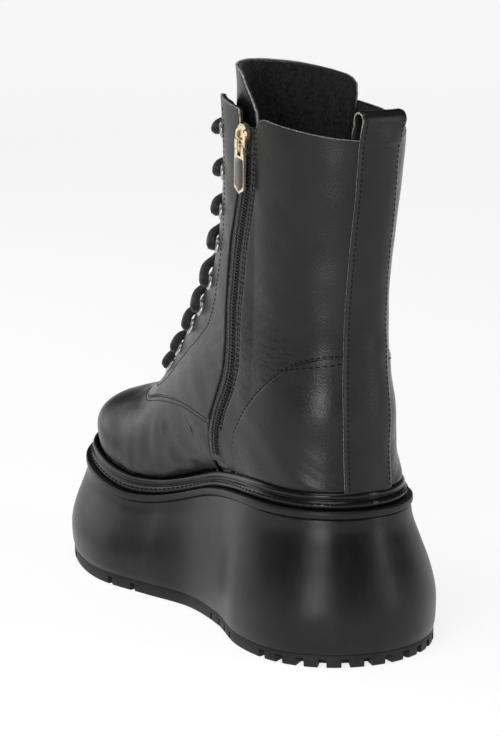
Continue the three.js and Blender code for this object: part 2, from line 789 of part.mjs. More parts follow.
// The slider's frame on the inner side of the shaft.
function sliderFrame() {
  const bothSides = new THREE.MeshBasicMaterial({ side: THREE.DoubleSide });
  const surface = new THREE.Mesh(fromSolid(fullWall), bothSides);
  const onSide = (row) => {
    const start = new THREE.Vector3(read(ZIP, 'x', row), 80, read(ZIP, 'z', row));
    return new THREE.Raycaster(start, new THREE.Vector3(0, -1, 0)).intersectObject(surface)[0].point;
  };
  const centre = onSide(SLIDER_ROW);
  const up = onSide(SLIDER_ROW - 0.5).sub(onSide(SLIDER_ROW + 0.7)).normalize();
  const across = new THREE.Vector3(1, 0, 0).cross(up).cross(up).negate().normalize();
  const out = new THREE.Vector3().crossVectors(up, across);
  return new THREE.Matrix4().makeBasis(across, out, up).setPosition(centre);
}

add('outsole', outsole(), RUBBER, 0.7);
add('platform', platform(), RUBBER, 0.45);
add('midsole', midsole(), RUBBER, 0.5);
add('welt', welt(), RUBBER, 0.35);
add('insole', insole(), 0x2a2a2a, 0.9);
add('upper', fromSolid(fullWall.subtract(throatCutter()).subtract(zipCutter(ZIP_SLOT))), LEATHER, 0.4);
add('tongue', tongue(), LEATHER, 0.5);
add('pull_loop', pullLoop(), LEATHER, 0.45);
add('zip_band', zipBand(), 0x101010, 0.7);
const onZip = sliderFrame();
add('zip_slider', fromSolid(slider()).applyMatrix4(onZip), GOLD, 0.25, 1);
add('zip_pull', fromSolid(pull()).applyMatrix4(onZip), GOLD, 0.25, 1);
for (let pair = 0; pair < EYELETS.length; pair++) {
  add(`eyelet_inner_${pair + 1}`, eyelet(pair, 1), 0xb8b8ba, 0.3, 1);
  add(`eyelet_outer_${pair + 1}`, eyelet(pair, -1), 0xb8b8ba, 0.3, 1);
}
add('lace', lace(), CORD, 0.9);

boot.position.copy(ORIGIN).negate();

export default boot;
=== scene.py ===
"""Looks of the platform boot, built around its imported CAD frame."""
import math

import bpy
import numpy as np
from mathutils import Matrix, Vector
from mathutils.bvhtree import BVHTree


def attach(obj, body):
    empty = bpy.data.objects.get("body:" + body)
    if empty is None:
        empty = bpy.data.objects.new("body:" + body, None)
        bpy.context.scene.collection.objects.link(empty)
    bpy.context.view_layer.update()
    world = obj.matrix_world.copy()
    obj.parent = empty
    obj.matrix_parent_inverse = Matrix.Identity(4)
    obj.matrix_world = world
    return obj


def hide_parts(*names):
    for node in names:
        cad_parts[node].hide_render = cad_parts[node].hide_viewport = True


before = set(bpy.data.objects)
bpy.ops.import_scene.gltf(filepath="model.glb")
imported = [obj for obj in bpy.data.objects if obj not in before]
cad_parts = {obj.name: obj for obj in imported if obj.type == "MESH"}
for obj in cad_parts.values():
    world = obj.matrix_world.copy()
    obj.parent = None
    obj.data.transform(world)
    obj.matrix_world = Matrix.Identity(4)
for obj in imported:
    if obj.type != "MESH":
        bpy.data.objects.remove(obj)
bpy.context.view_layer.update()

# --- sizes, in millimetres, in the last's own frame (back of the heel at x = 0) ----------------

ORIGIN = np.array([117.6, -2.8, 0.0])  # middle of the floor print in that frame
MM = 0.001
FOOT_LENGTH = 240
HEEL_SEAT = 79.7  # feather line above the floor under the heel
BALL_SEAT = 55.8  # and under the ball of the foot
ARCH_RISE = 3.2
TIP_RISE = 13
TREAD_SPRING = 6  # how far the tread turns up at the toe
OUTSOLE = 6.2  # thickness of the tread layer
LIP_DROP = 11.9  # underside of the midsole's lip below the feather line
WELT_DROP = 8.1  # underside of the welt below it
WALL_REACH = 5.9  # top of the platform's wall out from the feather line
SWELL = 1.3  # how far that wall bulges
SOLE_INSIDE = -9  # inner limit of the platform and midsole, in from the feather line
TONGUE_DEPTH = 3.6  # outer face of the tongue below the upper's surface
TONGUE_TUCK = 3.6  # how far its top leans to the outer side
THROAT_ROW = 5.74  # section where the throat opens
HEEL_ROW = 12  # section that ends at the foot of the back seam
COLLAR_ROW = 18


def spans(column, place):
    """Smooth values of a column of numbers at places counted in rows."""
    ends = [[2 * column[0] - column[1]], column, [2 * column[-1] - column[-2]]]
    padded = np.concatenate(ends)
    place = np.asarray(place, float)
    i = np.clip(np.floor(place).astype(int), 0, len(column) - 2)
    t = place - i
    before, a, b, after = (padded[i + k] for k in range(4))
    rise, fall = (b - before) / 2, (after - a) / 2
    bend = 2 * (a - b) + rise + fall
    return ((bend * t + 3 * (b - a) - 2 * rise - fall) * t + rise) * t + a


class Table:
    """Rows of numbers under named columns, read on a smooth curve through the rows."""

    def __init__(self, names, rows):
        self.names = names.split()
        self.rows = np.array(rows, float)
        self.last = len(rows) - 1

    def column(self, name):
        return self.rows[:, self.names.index(name)]

    def at(self, name, place):
        return spans(self.column(name), place)


SOLE = Table("x medial lateral medial_flare lateral_flare", [
    [0, 0, 0, 17.5, 17],
    [5, 17, 16, 18, 17],
    [19, 28.5, 28, 17.5, 17],
    [43, 34, 33.5, 13.5, 16.5],
    [76, 30.5, 36, 9, 14],
    [112, 25.5, 41, 12, 12],
    [145, 30.5, 45.5, 15.5, 12],
    [174, 37, 47, 16.5, 12.5],
    [199, 37.5, 43.5, 15, 13],
    [222, 31, 32, 14, 13],
    [235, 17.5, 17, 13, 13],
    [FOOT_LENGTH, 0, 0, 12.5, 12.5],
])
PLATFORM_WALL = Table("height spread swell", [
    [0, 1, 0],
    [0.1, 1, 0.7],
    [0.3, 0.97, 1],
    [0.5, 0.75, 0.8],
    [0.7, 0.4, 0.4],
    [0.87, 0.1, 0.1],
    [1, 0, 0],
])
UPPER = Table("ridge_x ridge_y ridge_z medial lateral belly crown tail edge", [
    [FOOT_LENGTH, 0, BALL_SEAT + TIP_RISE, 0, 0, 0.7, 2, 2, 0],
    [240.5, 1, 75, 14.5, 13.5, 0.7, 2.1, 2, 0.8],
    [236.5, 1, 83, 25, 25, 0.72, 2.15, 2, 1.5],
    [227, 0, 89.5, 33, 34, 0.75, 2.15, 2, 2.2],
    [213, -1, 94, 38, 42, 0.78, 2.1, 2, 2.9],
    [198, -2, 97.5, 39, 46, 0.8, 2.05, 2, 3.6],
    [184, -1, 103, 38, 46.5, 0.8, 2, 2, 4.4],
    [172, 0, 112.5, 36, 45, 0.78, 2, 2, 5.2],
    [160, 1, 125, 35, 42, 0.76, 2, 2, 6.1],
    [149, 2, 138, 35.5, 38, 0.73, 2, 2, 7],
    [138, 3, 151, 36, 34, 0.7, 2, 2, 8],
    [129, 4, 163, 36, 32, 0.66, 2, 2, 9.3],
    [120.5, 5, 175, 35.5, 30.5, 0.62, 2, 2.1, 11],
    [112, 6, 187, 34.5, 28.5, 0.58, 2, 2.2, 11],
    [105.5, 6.5, 200, 33, 27, 0.55, 2.08, 2.2, 11],
    [99.5, 7, 214, 33.5, 27, 0.53, 2.12, 2.1, 11],
    [95, 8, 229, 34.5, 28.5, 0.52, 2.16, 2, 11],
    [91.5, 9, 245, 35.8, 30.5, 0.5, 2.2, 2, 11],
    [90, 9.5, 261, 37, 31.5, 0.5, 2.2, 2, 11],
])
BACK = Table("x z", [  # back seam, from the heel row up
    [0, HEEL_SEAT],
    [1.5, 105],
    [2, 131],
    [0.8, 160],
    [-3, 190],
    [-7.5, 218],
    [-10.7, 242.2],
])
THROAT = Table("row half_gap", [
    [5.8, 1.5],
    [6.3, 5],
    [7, 8],
    [8, 9.5],
    [10, 11],
    [12, 12],
    [15, 12.5],
    [18, 13],
    [18.6, 13],
])
ZIP = Table("x z", [
    [44, 268],
    [45.5, 252],
    [47.5, 236],
    [51, 217],
    [56.5, 203],
    [62, 189],
    [65.5, 176],
    [67.3, 160],
    [67, 143],
    [68, 128],
    [72.5, 117],
    [79, 107],
    [83.5, 97],
    [85, 88],
    [84, 80],
])
TONGUE = Table("row medial lateral", [
    [5.2, 0.14, 0.14],
    [6, 0.22, 0.22],
    [7, 0.26, 0.26],
    [8, 0.27, 0.27],
    [10, 0.27, 0.27],
    [12, 0.27, 0.27],
    [14, 0.27, 0.28],
    [15, 0.27, 0.32],
    [16, 0.32, 0.37],
    [17, 0.42, 0.42],
    [17.5, 0.46, 0.43],
    [17.9, 0.45, 0.43],
    [18.2, 0.42, 0.43],
    [18.45, 0.385, 0.425],
    [18.6, 0.37, 0.4],
    [18.7, 0.355, 0.31],
    [18.8, 0.31, 0.2],
    [18.87, 0.24, 0.13],
    [18.92, 0.16, 0.06],
])
EYELETS = Table("row side", [
    [7.5, 0.17],
    [8.45, 0.185],
    [9.7, 0.195],
    [10.75, 0.2],
    [12.05, 0.205],
    [13.45, 0.21],
    [14.6, 0.215],
    [15.8, 0.22],
    [17, 0.225],
])
LACE = 2.3
EYELET_BORE = 2.3
EYELET_FLANGE = 4.2

# --- the last ----------------------------------------------------------------------------------

HALF = SOLE.last
CONTROLS = np.concatenate([
    np.stack([SOLE.column("x"), SOLE.column("medial"), SOLE.column("medial_flare")], 1),
    np.stack([SOLE.column("x"), -SOLE.column("lateral"), SOLE.column("lateral_flare")], 1)[1:-1][::-1],
])
AROUND = len(CONTROLS)


def unit(vectors):
    length = np.linalg.norm(vectors, axis=-1, keepdims=True)
    return vectors / np.maximum(length, 1e-12)


def ease(t):
    k = np.clip(t, 0, 1)
    return k * k * (3 - 2 * k)


def full_turn(count):
    return np.linspace(0, 2 * math.pi, count, endpoint=False)


def run_lengths(path):
    """Length run along a path at each of its points."""
    return np.concatenate([[0], np.cumsum(np.linalg.norm(np.diff(path, axis=0), axis=1))])


def values_at(place, steps, columns):
    """Values of several columns at a length run along their path."""
    return np.stack([np.interp(place, steps, columns[:, k]) for k in range(columns.shape[1])])


def outline(place, reach=0.0, flare=0.0):
    """Points (x, y) of the sole's outline, moved out by a reach and a share of the flare."""
    place = np.mod(np.asarray(place, float), AROUND)
    i = np.floor(place).astype(int)
    t = (place - i)[..., None]
    before, a, b, after = (CONTROLS[(i + k) % AROUND] for k in (-1, 0, 1, 2))
    rise, fall = (b - before) / 2, (after - a) / 2
    bend = 2 * (a - b) + rise + fall
    mid = 3 * (b - a) - 2 * rise - fall
    point = ((bend * t + mid) * t + rise) * t + a
    along = (3 * bend * t + 2 * mid) * t + rise
    out = unit(np.stack([-along[..., 1], along[..., 0]], -1))
    offset = np.asarray(reach + flare * point[..., 2])[..., None]
    return point[..., :2] + out * offset


def feather(x):
    """Height of the feather line."""
    t = np.asarray(x, float) / FOOT_LENGTH
    pitch = (HEEL_SEAT - BALL_SEAT) * ease((0.7 - t) / 0.55)
    arch = ARCH_RISE * np.exp(-(((t - 0.42) / 0.16) ** 2))
    return BALL_SEAT + pitch + arch + TIP_RISE * np.maximum(0, (t - 0.7) / 0.3) ** 1.5


def tread(x):
    """Height of the tread's underside: it springs up towards the toe."""
    start = 0.74 * FOOT_LENGTH
    return TREAD_SPRING * np.maximum(0, (x - start) / (FOOT_LENGTH + 12 - start)) ** 2


def section_at(row, side):
    """Points of the upper at a section and a side place: 0 on the ridge, +1 and -1 on the edges."""
    row, side = np.broadcast_arrays(np.asarray(row, float), np.asarray(side, float))
    inner = side >= 0
    turn = np.minimum(2, np.abs(side) * 2)
    value = {name: UPPER.at(name, row) for name in UPPER.names}
    edge_spans = np.clip(value["edge"], 0, HALF)
    edge = outline(np.where(inner, HALF - edge_spans, HALF + edge_spans))
    low = row < HEEL_ROW
    edge_x = np.where(low, edge[..., 0], BACK.at("x", row - HEEL_ROW))
    edge_y = np.where(low, edge[..., 1], 0)
    edge_z = np.where(low, feather(edge[..., 0]), BACK.at("z", row - HEEL_ROW))
    half = np.where(inner, value["medial"], -value["lateral"])
    first = turn <= 1
    angle = np.where(first, turn, turn - 1) * (math.pi / 2)
    power = 2 / np.where(first, value["crown"], value["tail"])
    run = np.sin(angle) ** power
    cross = np.maximum(0, np.cos(angle)) ** power
    belly = value["belly"]
    way = np.where(first, belly * (1 - cross), belly + (1 - belly) * run)
    y = np.where(first, value["ridge_y"] * cross + half * run, edge_y + (half - edge_y) * cross)
    x = value["ridge_x"] + (edge_x - value["ridge_x"]) * way
    z = value["ridge_z"] + (edge_z - value["ridge_z"]) * way
    return np.stack([x, y, z], -1)


def upper_at(row, side):
    """The upper's surface, with the bend along the heel row eased."""
    row, side = np.broadcast_arrays(np.asarray(row, float), np.asarray(side, float))
    reach = 0.42 * np.clip(1.3 - np.abs(row - HEEL_ROW), 0, 1) * (1 - np.abs(side) ** 10)
    total = 0.4 * section_at(row, side)
    for step, weight in ((1, 0.2), (2, 0.1)):
        total += weight * (section_at(row + step * reach, side) + section_at(row - step * reach, side))
    return total


def upper_normal(row, side):
    step = 0.02
    up = upper_at(row + step, side) - upper_at(row - step, side)
    across = upper_at(row, side + step) - upper_at(row, side - step)
    return -unit(np.cross(up, across))


# --- meshes ------------------------------------------------------------------------------------


def quads(rows, columns, closed=False):
    """Faces of a grid of points, row by row. A closed grid joins its last column to its first."""
    r = np.arange(rows - 1)[:, None]
    c = np.arange(columns if closed else columns - 1)[None, :]
    after = (c + 1) % columns
    corners = [r * columns + c, r * columns + after, (r + 1) * columns + after, (r + 1) * columns + c]
    return np.stack([np.broadcast_to(k, (rows - 1, c.shape[1])) for k in corners], -1).reshape(-1, 4)


def tube_faces(rings, sides):
    """Faces of a tube of rings, with its two end caps."""
    last = (rings - 1) * sides
    caps = [list(range(sides))[::-1], [last + k for k in range(sides)]]
    return quads(rings, sides, closed=True).tolist() + caps


def free_edges(faces):
    """Edges that only one face has, and the points on them."""
    edges = {}
    for f in faces:
        for k, a in enumerate(f):
            edges[(a, f[(k + 1) % len(f)])] = True
    border = [(a, b) for (a, b) in edges if (b, a) not in edges]
    return border, sorted({a for edge in border for a in edge})


def weld(points, faces):
    """Coincident points made one, and faces without area dropped or made triangles."""
    keys = np.round(points / 0.002).astype(np.int64)
    _, first, inverse = np.unique(keys, axis=0, return_index=True, return_inverse=True)
    faces = inverse.reshape(-1)[faces]
    same = faces == np.roll(faces, -1, axis=1)
    whole = faces[~same.any(1)].tolist()
    for face in faces[same.any(1)].tolist():
        kept = [v for k, v in enumerate(face) if v != face[(k + 1) % 4]]
        if len(set(kept)) == 3 and len(kept) == 3:
            whole.append(kept)
    return points[first], whole


def as_quads(faces):
    return np.array([f if len(f) == 4 else f + [f[2]] for f in faces if len(f) <= 4])


def normals_of(points, faces):
    f = as_quads(faces)
    area = np.cross(points[f[:, 2]] - points[f[:, 0]], points[f[:, 3]] - points[f[:, 1]])
    tri = f[:, 2] == f[:, 3]
    flat = np.cross(points[f[:, 1]] - points[f[:, 0]], points[f[:, 2]] - points[f[:, 0]])
    area[tri] = flat[tri]
    total = np.zeros_like(points)
    for k in range(4):
        np.add.at(total, f[:, k], area)
    return unit(total)


def turned(faces):
    return [face[::-1] for face in faces]


def facing_forward(points, faces):
    """The faces of a body round the sole, turned if they look back at its front."""
    return turned(faces) if normals_of(points, faces)[np.argmax(points[:, 0])][0] < 0 else faces


def facing_out(points, faces):
    """The faces of a closed body, turned if they look into it."""
    f = as_quads(faces)
    a, b, c, d = (points[f[:, k]] - points.mean(0) for k in range(4))
    volume = (np.cross(b, c) * a).sum() + (np.cross(c, d) * a).sum()
    return turned(faces) if volume < 0 else faces


def add_object(name, data):
    thing = bpy.data.objects.new(name, data)
    bpy.context.scene.collection.objects.link(thing)
    return thing


def add_mesh(name, points, faces):
    """A mesh object in the frame, from points in millimetres in the last's frame."""
    mesh = bpy.data.meshes.new(name)
    mesh.from_pydata(((np.asarray(points) - ORIGIN) * MM).tolist(), [], faces)
    return add_object(name, mesh)


def new_piece(name, points, faces, materials, slot, which=None, replaces=(), body="root"):
    """A piece of the boot: its mesh, which material each face has, slot (not used), body and what it
    replaces.
    """
    piece = add_mesh(name, points, faces)
    mesh = piece.data
    for material in materials:
        mesh.materials.append(material)
    if which is not None:
        mesh.polygons.foreach_set("material_index", which)
    mesh.polygons.foreach_set("use_smooth", np.ones(len(faces), bool))
    mesh.update()
    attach(piece, body)
    if replaces:
        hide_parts(*replaces)
    return piece


def wall_between(points, faces, inner_points, skin=0.55):
    """A closed body from an outer sheet and its inner copy. Its cut edge has two strips: skin,
    the share of the thickness that is leather, and the rest. Gives points, faces and face kinds."""
    count = len(points)
    border, rim = free_edges(faces)
    place = {a: 2 * count + i for i, a in enumerate(rim)}
    middle = points[rim] + (inner_points[rim] - points[rim]) * skin
    all_points = np.concatenate([points, inner_points, middle])
    all_faces = list(faces) + [[v + count for v in f[::-1]] for f in faces]
    kinds = [0] * len(faces) + [2] * len(faces)
    for a, b in border:
        all_faces += [[b, a, place[a], place[b]], [place[b], place[a], a + count, b + count]]
        kinds += [1, 2]
    return all_points, all_faces, kinds


def sweep(path, rings):
    """Points and faces of a tube: rings hold offsets (across, up) for each point of the path."""
    path = np.asarray(path, float)
    along = unit(np.gradient(path, axis=0))
    up = np.zeros_like(path)
    up[0] = unit(np.cross(along[0], [0.0, 0.3, 1.0]))
    for i in range(1, len(path)):
        up[i] = unit(up[i - 1] - along[i] * np.dot(up[i - 1], along[i]))
    across = np.cross(along, up)
    points = path[:, None] + across[:, None] * rings[..., :1] + up[:, None] * rings[..., 1:2]
    return points.reshape(-1, 3), tube_faces(len(path), rings.shape[1])


def smooth_path(points, step):
    """Points at equal steps along a smooth curve through given points."""
    points = np.asarray(points, float)
    t = np.linspace(0, len(points) - 1, 40 * len(points))
    fine = np.stack([spans(points[:, k], t) for k in range(points.shape[1])], -1)
    length = run_lengths(fine)
    wanted = np.linspace(0, length[-1], max(2, int(round(length[-1] / step)) + 1))
    return np.stack([np.interp(wanted, length, fine[:, k]) for k in range(points.shape[1])], -1)


def join(parts):
    """Points and faces of several bodies as one mesh."""
    points, faces, start = [], [], 0
    for p, f in parts:
        points.append(p)
        faces += [[v + start for v in face] for face in f]
        start += len(p)
    return np.concatenate(points), faces


FAR_AWAY = 1e9
FOLD_MARGIN = 12  # a fold moves nothing further from it than this


def distance_to(points, line):
    """Distance of each point to a line of points, or FAR_AWAY past the margin."""
    best = np.full(len(points), FAR_AWAY)
    low, high = line.min(0) - FOLD_MARGIN, line.max(0) + FOLD_MARGIN
    near = ((points > low) & (points < high)).all(1)
    p = points[near]
    d = np.full(len(p), FAR_AWAY)
    for a, b in zip(line[:-1], line[1:]):
        ab = b - a
        t = np.clip(((p - a) @ ab) / max(ab @ ab, 1e-9), 0, 1)
        d = np.minimum(d, np.linalg.norm(p - a - t[:, None] * ab, axis=1))
    best[near] = d
    return best


# --- the base surface, for laying lines and strips on it -----------------------------------------


def base_surface():
    rows = np.linspace(0, COLLAR_ROW + 0.6, 260)
    sides = np.linspace(-1, 1, 241)
    points = upper_at(rows[:, None], sides[None, :]).reshape(-1, 3)
    return BVHTree.FromPolygons(points.tolist(), quads(len(rows), len(sides)).tolist())


BASE = base_surface()


OUTSIDE = 120  # where rays towards the upper's sides start from


def cast(point, direction):
    """Where a ray meets the base surface, or the nearest place on it, and the normal there."""
    hit, normal, _, _ = BASE.ray_cast(Vector(point), Vector(direction))
    if hit is None:
        hit, normal, _, _ = BASE.find_nearest(Vector(point))
    normal = np.array(normal)
    if np.dot(normal, np.asarray(direction, float)) > 0:
        normal = -normal
    return np.array(hit), normal


def on_side(xz, hand=1):
    """Points and normals of the surface at (x, z) places seen from the inner (1) or outer side."""
    hits = [cast((x, OUTSIDE * hand, z), (0, -hand, 0)) for x, z in xz]
    return np.array([h[0] for h in hits]), np.array([h[1] for h in hits])


def at_places(rows, sides):
    """Points and normals of the surface at sections and side places."""
    return upper_at(rows, sides), upper_normal(rows, sides)


# --- materials -----------------------------------------------------------------------------------


class Finish:
    """A node material with short calls for its nodes and links."""

    def __init__(self, name, rough, metallic=0.0, specular=0.5, coat=0.0, sheen=0.0):
        self.material = bpy.data.materials.new(name)
        self.material.use_nodes = True
        self.tree = self.material.node_tree
        self.shader = self.tree.nodes["Principled BSDF"]
        values = {
            "Roughness": rough,
            "Metallic": metallic,
            "Specular IOR Level": specular,
            "Coat Weight": coat,
            "Coat Roughness": 0.3,
            "Sheen Weight": sheen,
            "Sheen Roughness": 0.4,
        }
        for key, value in values.items():
            self.shader.inputs[key].default_value = value
        self.coords = self.tree.nodes.new("ShaderNodeTexCoord")

    def node(self, kind, inputs=None, **settings):
        node = self.tree.nodes.new("ShaderNode" + kind)
        for key, value in settings.items():
            setattr(node, key, value)
        for key, value in (inputs or {}).items():
            self.put(node.inputs[key], value)
        return node

    def put(self, socket, value):
        if isinstance(value, bpy.types.NodeSocket):
            self.tree.links.new(value, socket)
        else:
            socket.default_value = value

    def noise(self, scale, detail=3.0, rough=0.55, stretch=None):
        vector = self.coords.outputs["Object"]
        if stretch:
            vector = self.node("Mapping", {"Vector": vector, "Scale": stretch}).outputs[0]
        inputs = {"Vector": vector, "Scale": scale, "Detail": detail, "Roughness": rough}
        return self.node("TexNoise", inputs).outputs["Fac"]

    def cells(self, scale):
        inputs = {"Vector": self.coords.outputs["Object"], "Scale": scale}
        return self.node("TexVoronoi", inputs).outputs["Distance"]

    def math(self, operation, a, b=0.0):
        node = self.node("Math", operation=operation)
        for socket, value in zip(node.inputs, (a, b)):
            self.put(socket, value)
        return node.outputs[0]

    def span(self, value, low, high, to_low=0.0, to_high=1.0):
        names = ("Value", "From Min", "From Max", "To Min", "To Max")
        return self.node("MapRange", dict(zip(names, (value, low, high, to_low, to_high)))).outputs[0]

    def vector(self, operation, a, b=None):
        inputs = {0: a} if b is None else {0: a, 1: b}
        return self.node("VectorMath", inputs, operation=operation)

    def mix(self, share, a, b):
        node = self.node("Mix", data_type="RGBA")
        for index, value in ((0, share), (6, a), (7, b)):
            self.put(node.inputs[index], value)
        return node.outputs[2]

    def colour(self, value):
        self.put(self.shader.inputs["Base Color"], value)

    def rough(self, value):
        self.put(self.shader.inputs["Roughness"], value)

    def bump(self, *layers):
        """Layers of (height, distance in metres, strength), the later ones on top."""
        normal = None
        for height, distance, strength in layers:
            inputs = {"Height": height, "Distance": distance, "Strength": strength}
            if normal is not None:
                inputs["Normal"] = normal
            normal = self.node("Bump", inputs).outputs[0]
        self.put(self.shader.inputs["Normal"], normal)


def grey(value, warm=0.0):
    return (value * (1 + warm), value, value * (1 - warm), 1)


ANKLE_MIDDLE = (-0.066, 0.038, 0.139)  # middle of the fine creases, in metres


def leather(name="leather_black", dark=0.006, light=0.014, rough=0.3, creased=0.0):
    f = Finish(name, rough, specular=0.28)
    cloud = f.noise(22, 4, 0.6)
    fine = f.noise(260, 3)
    tone = f.mix(f.span(cloud, 0.35, 0.7), grey(dark), grey(light, 0.03))
    speck = f.math("LESS_THAN", f.cells(260), 0.045)
    rare = f.math("GREATER_THAN", f.noise(310, 0), 0.66)
    dust = f.math("MULTIPLY", f.math("MULTIPLY", speck, rare), 0.5)
    f.colour(f.mix(dust, tone, grey(0.35)))
    f.rough(f.math("ADD", f.span(cloud, 0.3, 0.7, rough - 0.07, rough + 0.08),
                   f.span(fine, 0.3, 0.7, -0.04, 0.04)))
    pores = f.cells(1500)
    pebble = f.noise(900, 2)
    layers = [(f.noise(60, 3), 0.0012, 0.12), (pebble, 0.00025, 0.35), (pores, 0.00012, 0.35)]
    if creased:
        offset = f.vector("SUBTRACT", f.coords.outputs["Object"], ANKLE_MIDDLE)
        reach = f.vector("MULTIPLY", offset.outputs[0], (1, 0.6, 1.3))
        away = f.vector("LENGTH", reach.outputs[0]).outputs["Value"]
        near = f.span(away, 0.012, 0.042, 1, 0)
        crinkle = f.noise(210, 3, 0.5, stretch=(0.45, 0.45, 1.7))
        layers.insert(1, (f.math("MULTIPLY", crinkle, near), 0.0016, creased))
    f.bump(*layers)
    return f.material


def raw_edge():
    f = Finish("leather_cut_edge", 0.85)
    f.colour(f.mix(f.span(f.noise(900, 3), 0.35, 0.65), grey(0.12, 0.05), grey(0.45, 0.06)))
    f.bump((f.noise(1800, 3), 0.0003, 0.7))
    return f.material


def fleece():
    f = Finish("lining_fleece", 0.95, specular=0.15, sheen=0.35)
    tufts = f.noise(700, 4, 0.7)
    patches = f.noise(140, 3)
    tone = f.mix(f.span(tufts, 0.35, 0.7), grey(0.004), grey(0.03))
    f.colour(f.mix(f.span(patches, 0.45, 0.7), tone, grey(0.02)))
    f.bump((patches, 0.0016, 0.6), (tufts, 0.0007, 0.9), (f.noise(2600, 2), 0.0003, 0.6))
    return f.material


def rubber(name, tone, rough, grain):
    f = Finish(name, rough, specular=0.28)
    cloud = f.noise(14, 4, 0.6)
    rubbed = f.noise(55, 5, 0.7, stretch=(1, 1, 0.35))
    f.colour(f.mix(f.span(rubbed, 0.5, 0.75), grey(tone), grey(tone * 2.1, 0.04)))
    f.rough(f.math("ADD", f.span(cloud, 0.3, 0.7, rough - 0.06, rough + 0.06),
                   f.span(rubbed, 0.4, 0.8, 0, 0.09)))
    scratch = f.noise(240, 3, 0.6, stretch=(1, 1, 0.12))
    f.bump((f.noise(40, 3), 0.001, 0.1), (scratch, 0.00012, grain), (f.noise(1800, 2), 0.00008, grain))
    return f.material


def thread():
    f = Finish("thread_black", 0.7, specular=0.15)
    f.colour(f.mix(f.span(f.noise(2500, 2), 0.4, 0.6), grey(0.002), grey(0.006)))
    f.bump((f.noise(3000, 2), 0.0001, 0.6))
    return f.material


def metal(name, colour, rough):
    f = Finish(name, rough, metallic=1.0)
    worn = f.noise(700, 4)
    f.colour(f.mix(f.span(worn, 0.4, 0.75), colour, tuple(0.7 * c for c in colour[:3]) + (1,)))
    f.rough(f.span(worn, 0.3, 0.7, rough - 0.05, rough + 0.08))
    f.bump((f.noise(1500, 3), 0.00005, 0.35))
    return f.material


def enamel():
    f = Finish("pull_enamel", 0.22, coat=0.6)
    f.colour(f.mix(f.span(f.noise(500, 3), 0.5, 0.8), grey(0.004), grey(0.02)))
    f.bump((f.noise(400, 2), 0.0001, 0.15))
    return f.material


def woven(name, tone, pitch):
    """Woven tape or cord: crossing ridges along the mesh's own UV map, in millimetres, with painted shade
    in the grooves and painted highlight on the crests.
    """
    f = Finish(name, 0.75, specular=0.3, sheen=0.25)
    uv = f.node("SeparateXYZ", {"Vector": f.coords.outputs["UV"]})
    turn = 2 * math.pi / pitch
    one = f.math("SINE", f.math("MULTIPLY", f.math("ADD", uv.outputs[0], uv.outputs[1]), turn))
    two = f.math("SINE", f.math("MULTIPLY", f.math("SUBTRACT", uv.outputs[0], uv.outputs[1]), turn))
    ridge = f.math("ABSOLUTE", f.math("MULTIPLY", one, two))
    # painted shade and painted highlight: the weave is coloured darker in its grooves and lighter on its
    # crests, following the height of its ridges
    f.colour(f.mix(ridge, grey(tone * 0.35), grey(tone * 1.8)))
    f.bump((ridge, 0.0004, 0.8), (f.noise(2600, 2), 0.0001, 0.5))
    return f.material


LEATHER = leather()
CREASED_LEATHER = leather("leather_black_creased", creased=0.55)
STRIP_LEATHER = leather("strip_leather", 0.007, 0.014, 0.36)
EDGE = raw_edge()
FLEECE = fleece()
PLATFORM_RUBBER = rubber("platform_rubber_satin", 0.006, 0.33, 0.25)
LIP_RUBBER = rubber("lip_rubber", 0.006, 0.42, 0.3)
WELT_RUBBER = rubber("welt_rubber_gloss", 0.005, 0.24, 0.15)
TREAD_RUBBER = rubber("tread_rubber_matte", 0.009, 0.55, 0.5)
THREAD = thread()
GOLD = metal("pale_gold", (0.85, 0.74, 0.57, 1), 0.18)
NICKEL = metal("nickel", (0.5, 0.5, 0.5, 1), 0.3)
ENAMEL = enamel()
TAPE = woven("zip_tape_weave", 0.004, 1.4)
CORD = woven("lace_weave", 0.016, 1.9)
COIL = rubber("zip_coil_nylon", 0.008, 0.26, 0.2)

# --- lines on the upper, as seen from the side: (x, z) ---------------------------------------------

ZIP_FRONT = [(53, 262), (52.5, 242), (59, 216), (66, 200), (72, 185), (75, 163), (75, 139),
             (77, 126), (81, 117), (89, 102), (92, 92), (92, 68)]
ZIP_REAR = [(37.5, 262), (38.5, 240), (42.5, 218), (47, 203), (52.5, 188), (57.5, 166), (58, 142),
            (59.5, 129), (64.5, 117), (71.5, 106), (75.5, 95), (75.5, 68)]
VAMP_SEAM = [(196, 97.5), (188, 97), (176, 96), (163, 98.5), (151, 101), (134, 103), (116, 103.5),
             (92, 101), (64, 98)]
COUNTER = [(-8, 143), (4, 142), (10, 141), (16, 139), (23, 135.5), (34, 127), (48, 115), (59, 103),
           (64.5, 92), (66, 68)]
FACING = Table("row side", [  # the stitched line round the eyelets, from the vamp up
    [6.2, 0.14],
    [7, 0.235],
    [8, 0.26],
    [10, 0.275],
    [12, 0.285],
    [14, 0.295],
    [16, 0.3],
    [18, 0.305],
])
FACING_CUT = 17.5  # above this section the facing is cut back to the side place below
FACING_CORNER = 0.225
CORNER_ROW = 17.75  # the rear quarter's corner at the zip is rounded above this section
CORNER_REACH = 0.045
TOE_END = 5.15  # section where the vamp seam crosses the ridge

# How far each panel's outer face stands out from the last's surface.
VAMP_LIFT = -0.6
QUARTER_LIFT = 0.3
COUNTER_LIFT = 1.0
SKIRT = 7  # how far a panel goes down inside the welt
SKIRT_STRIPS = 4
SKIRT_SCALE = 100  # millimetres down for each side place past the edge


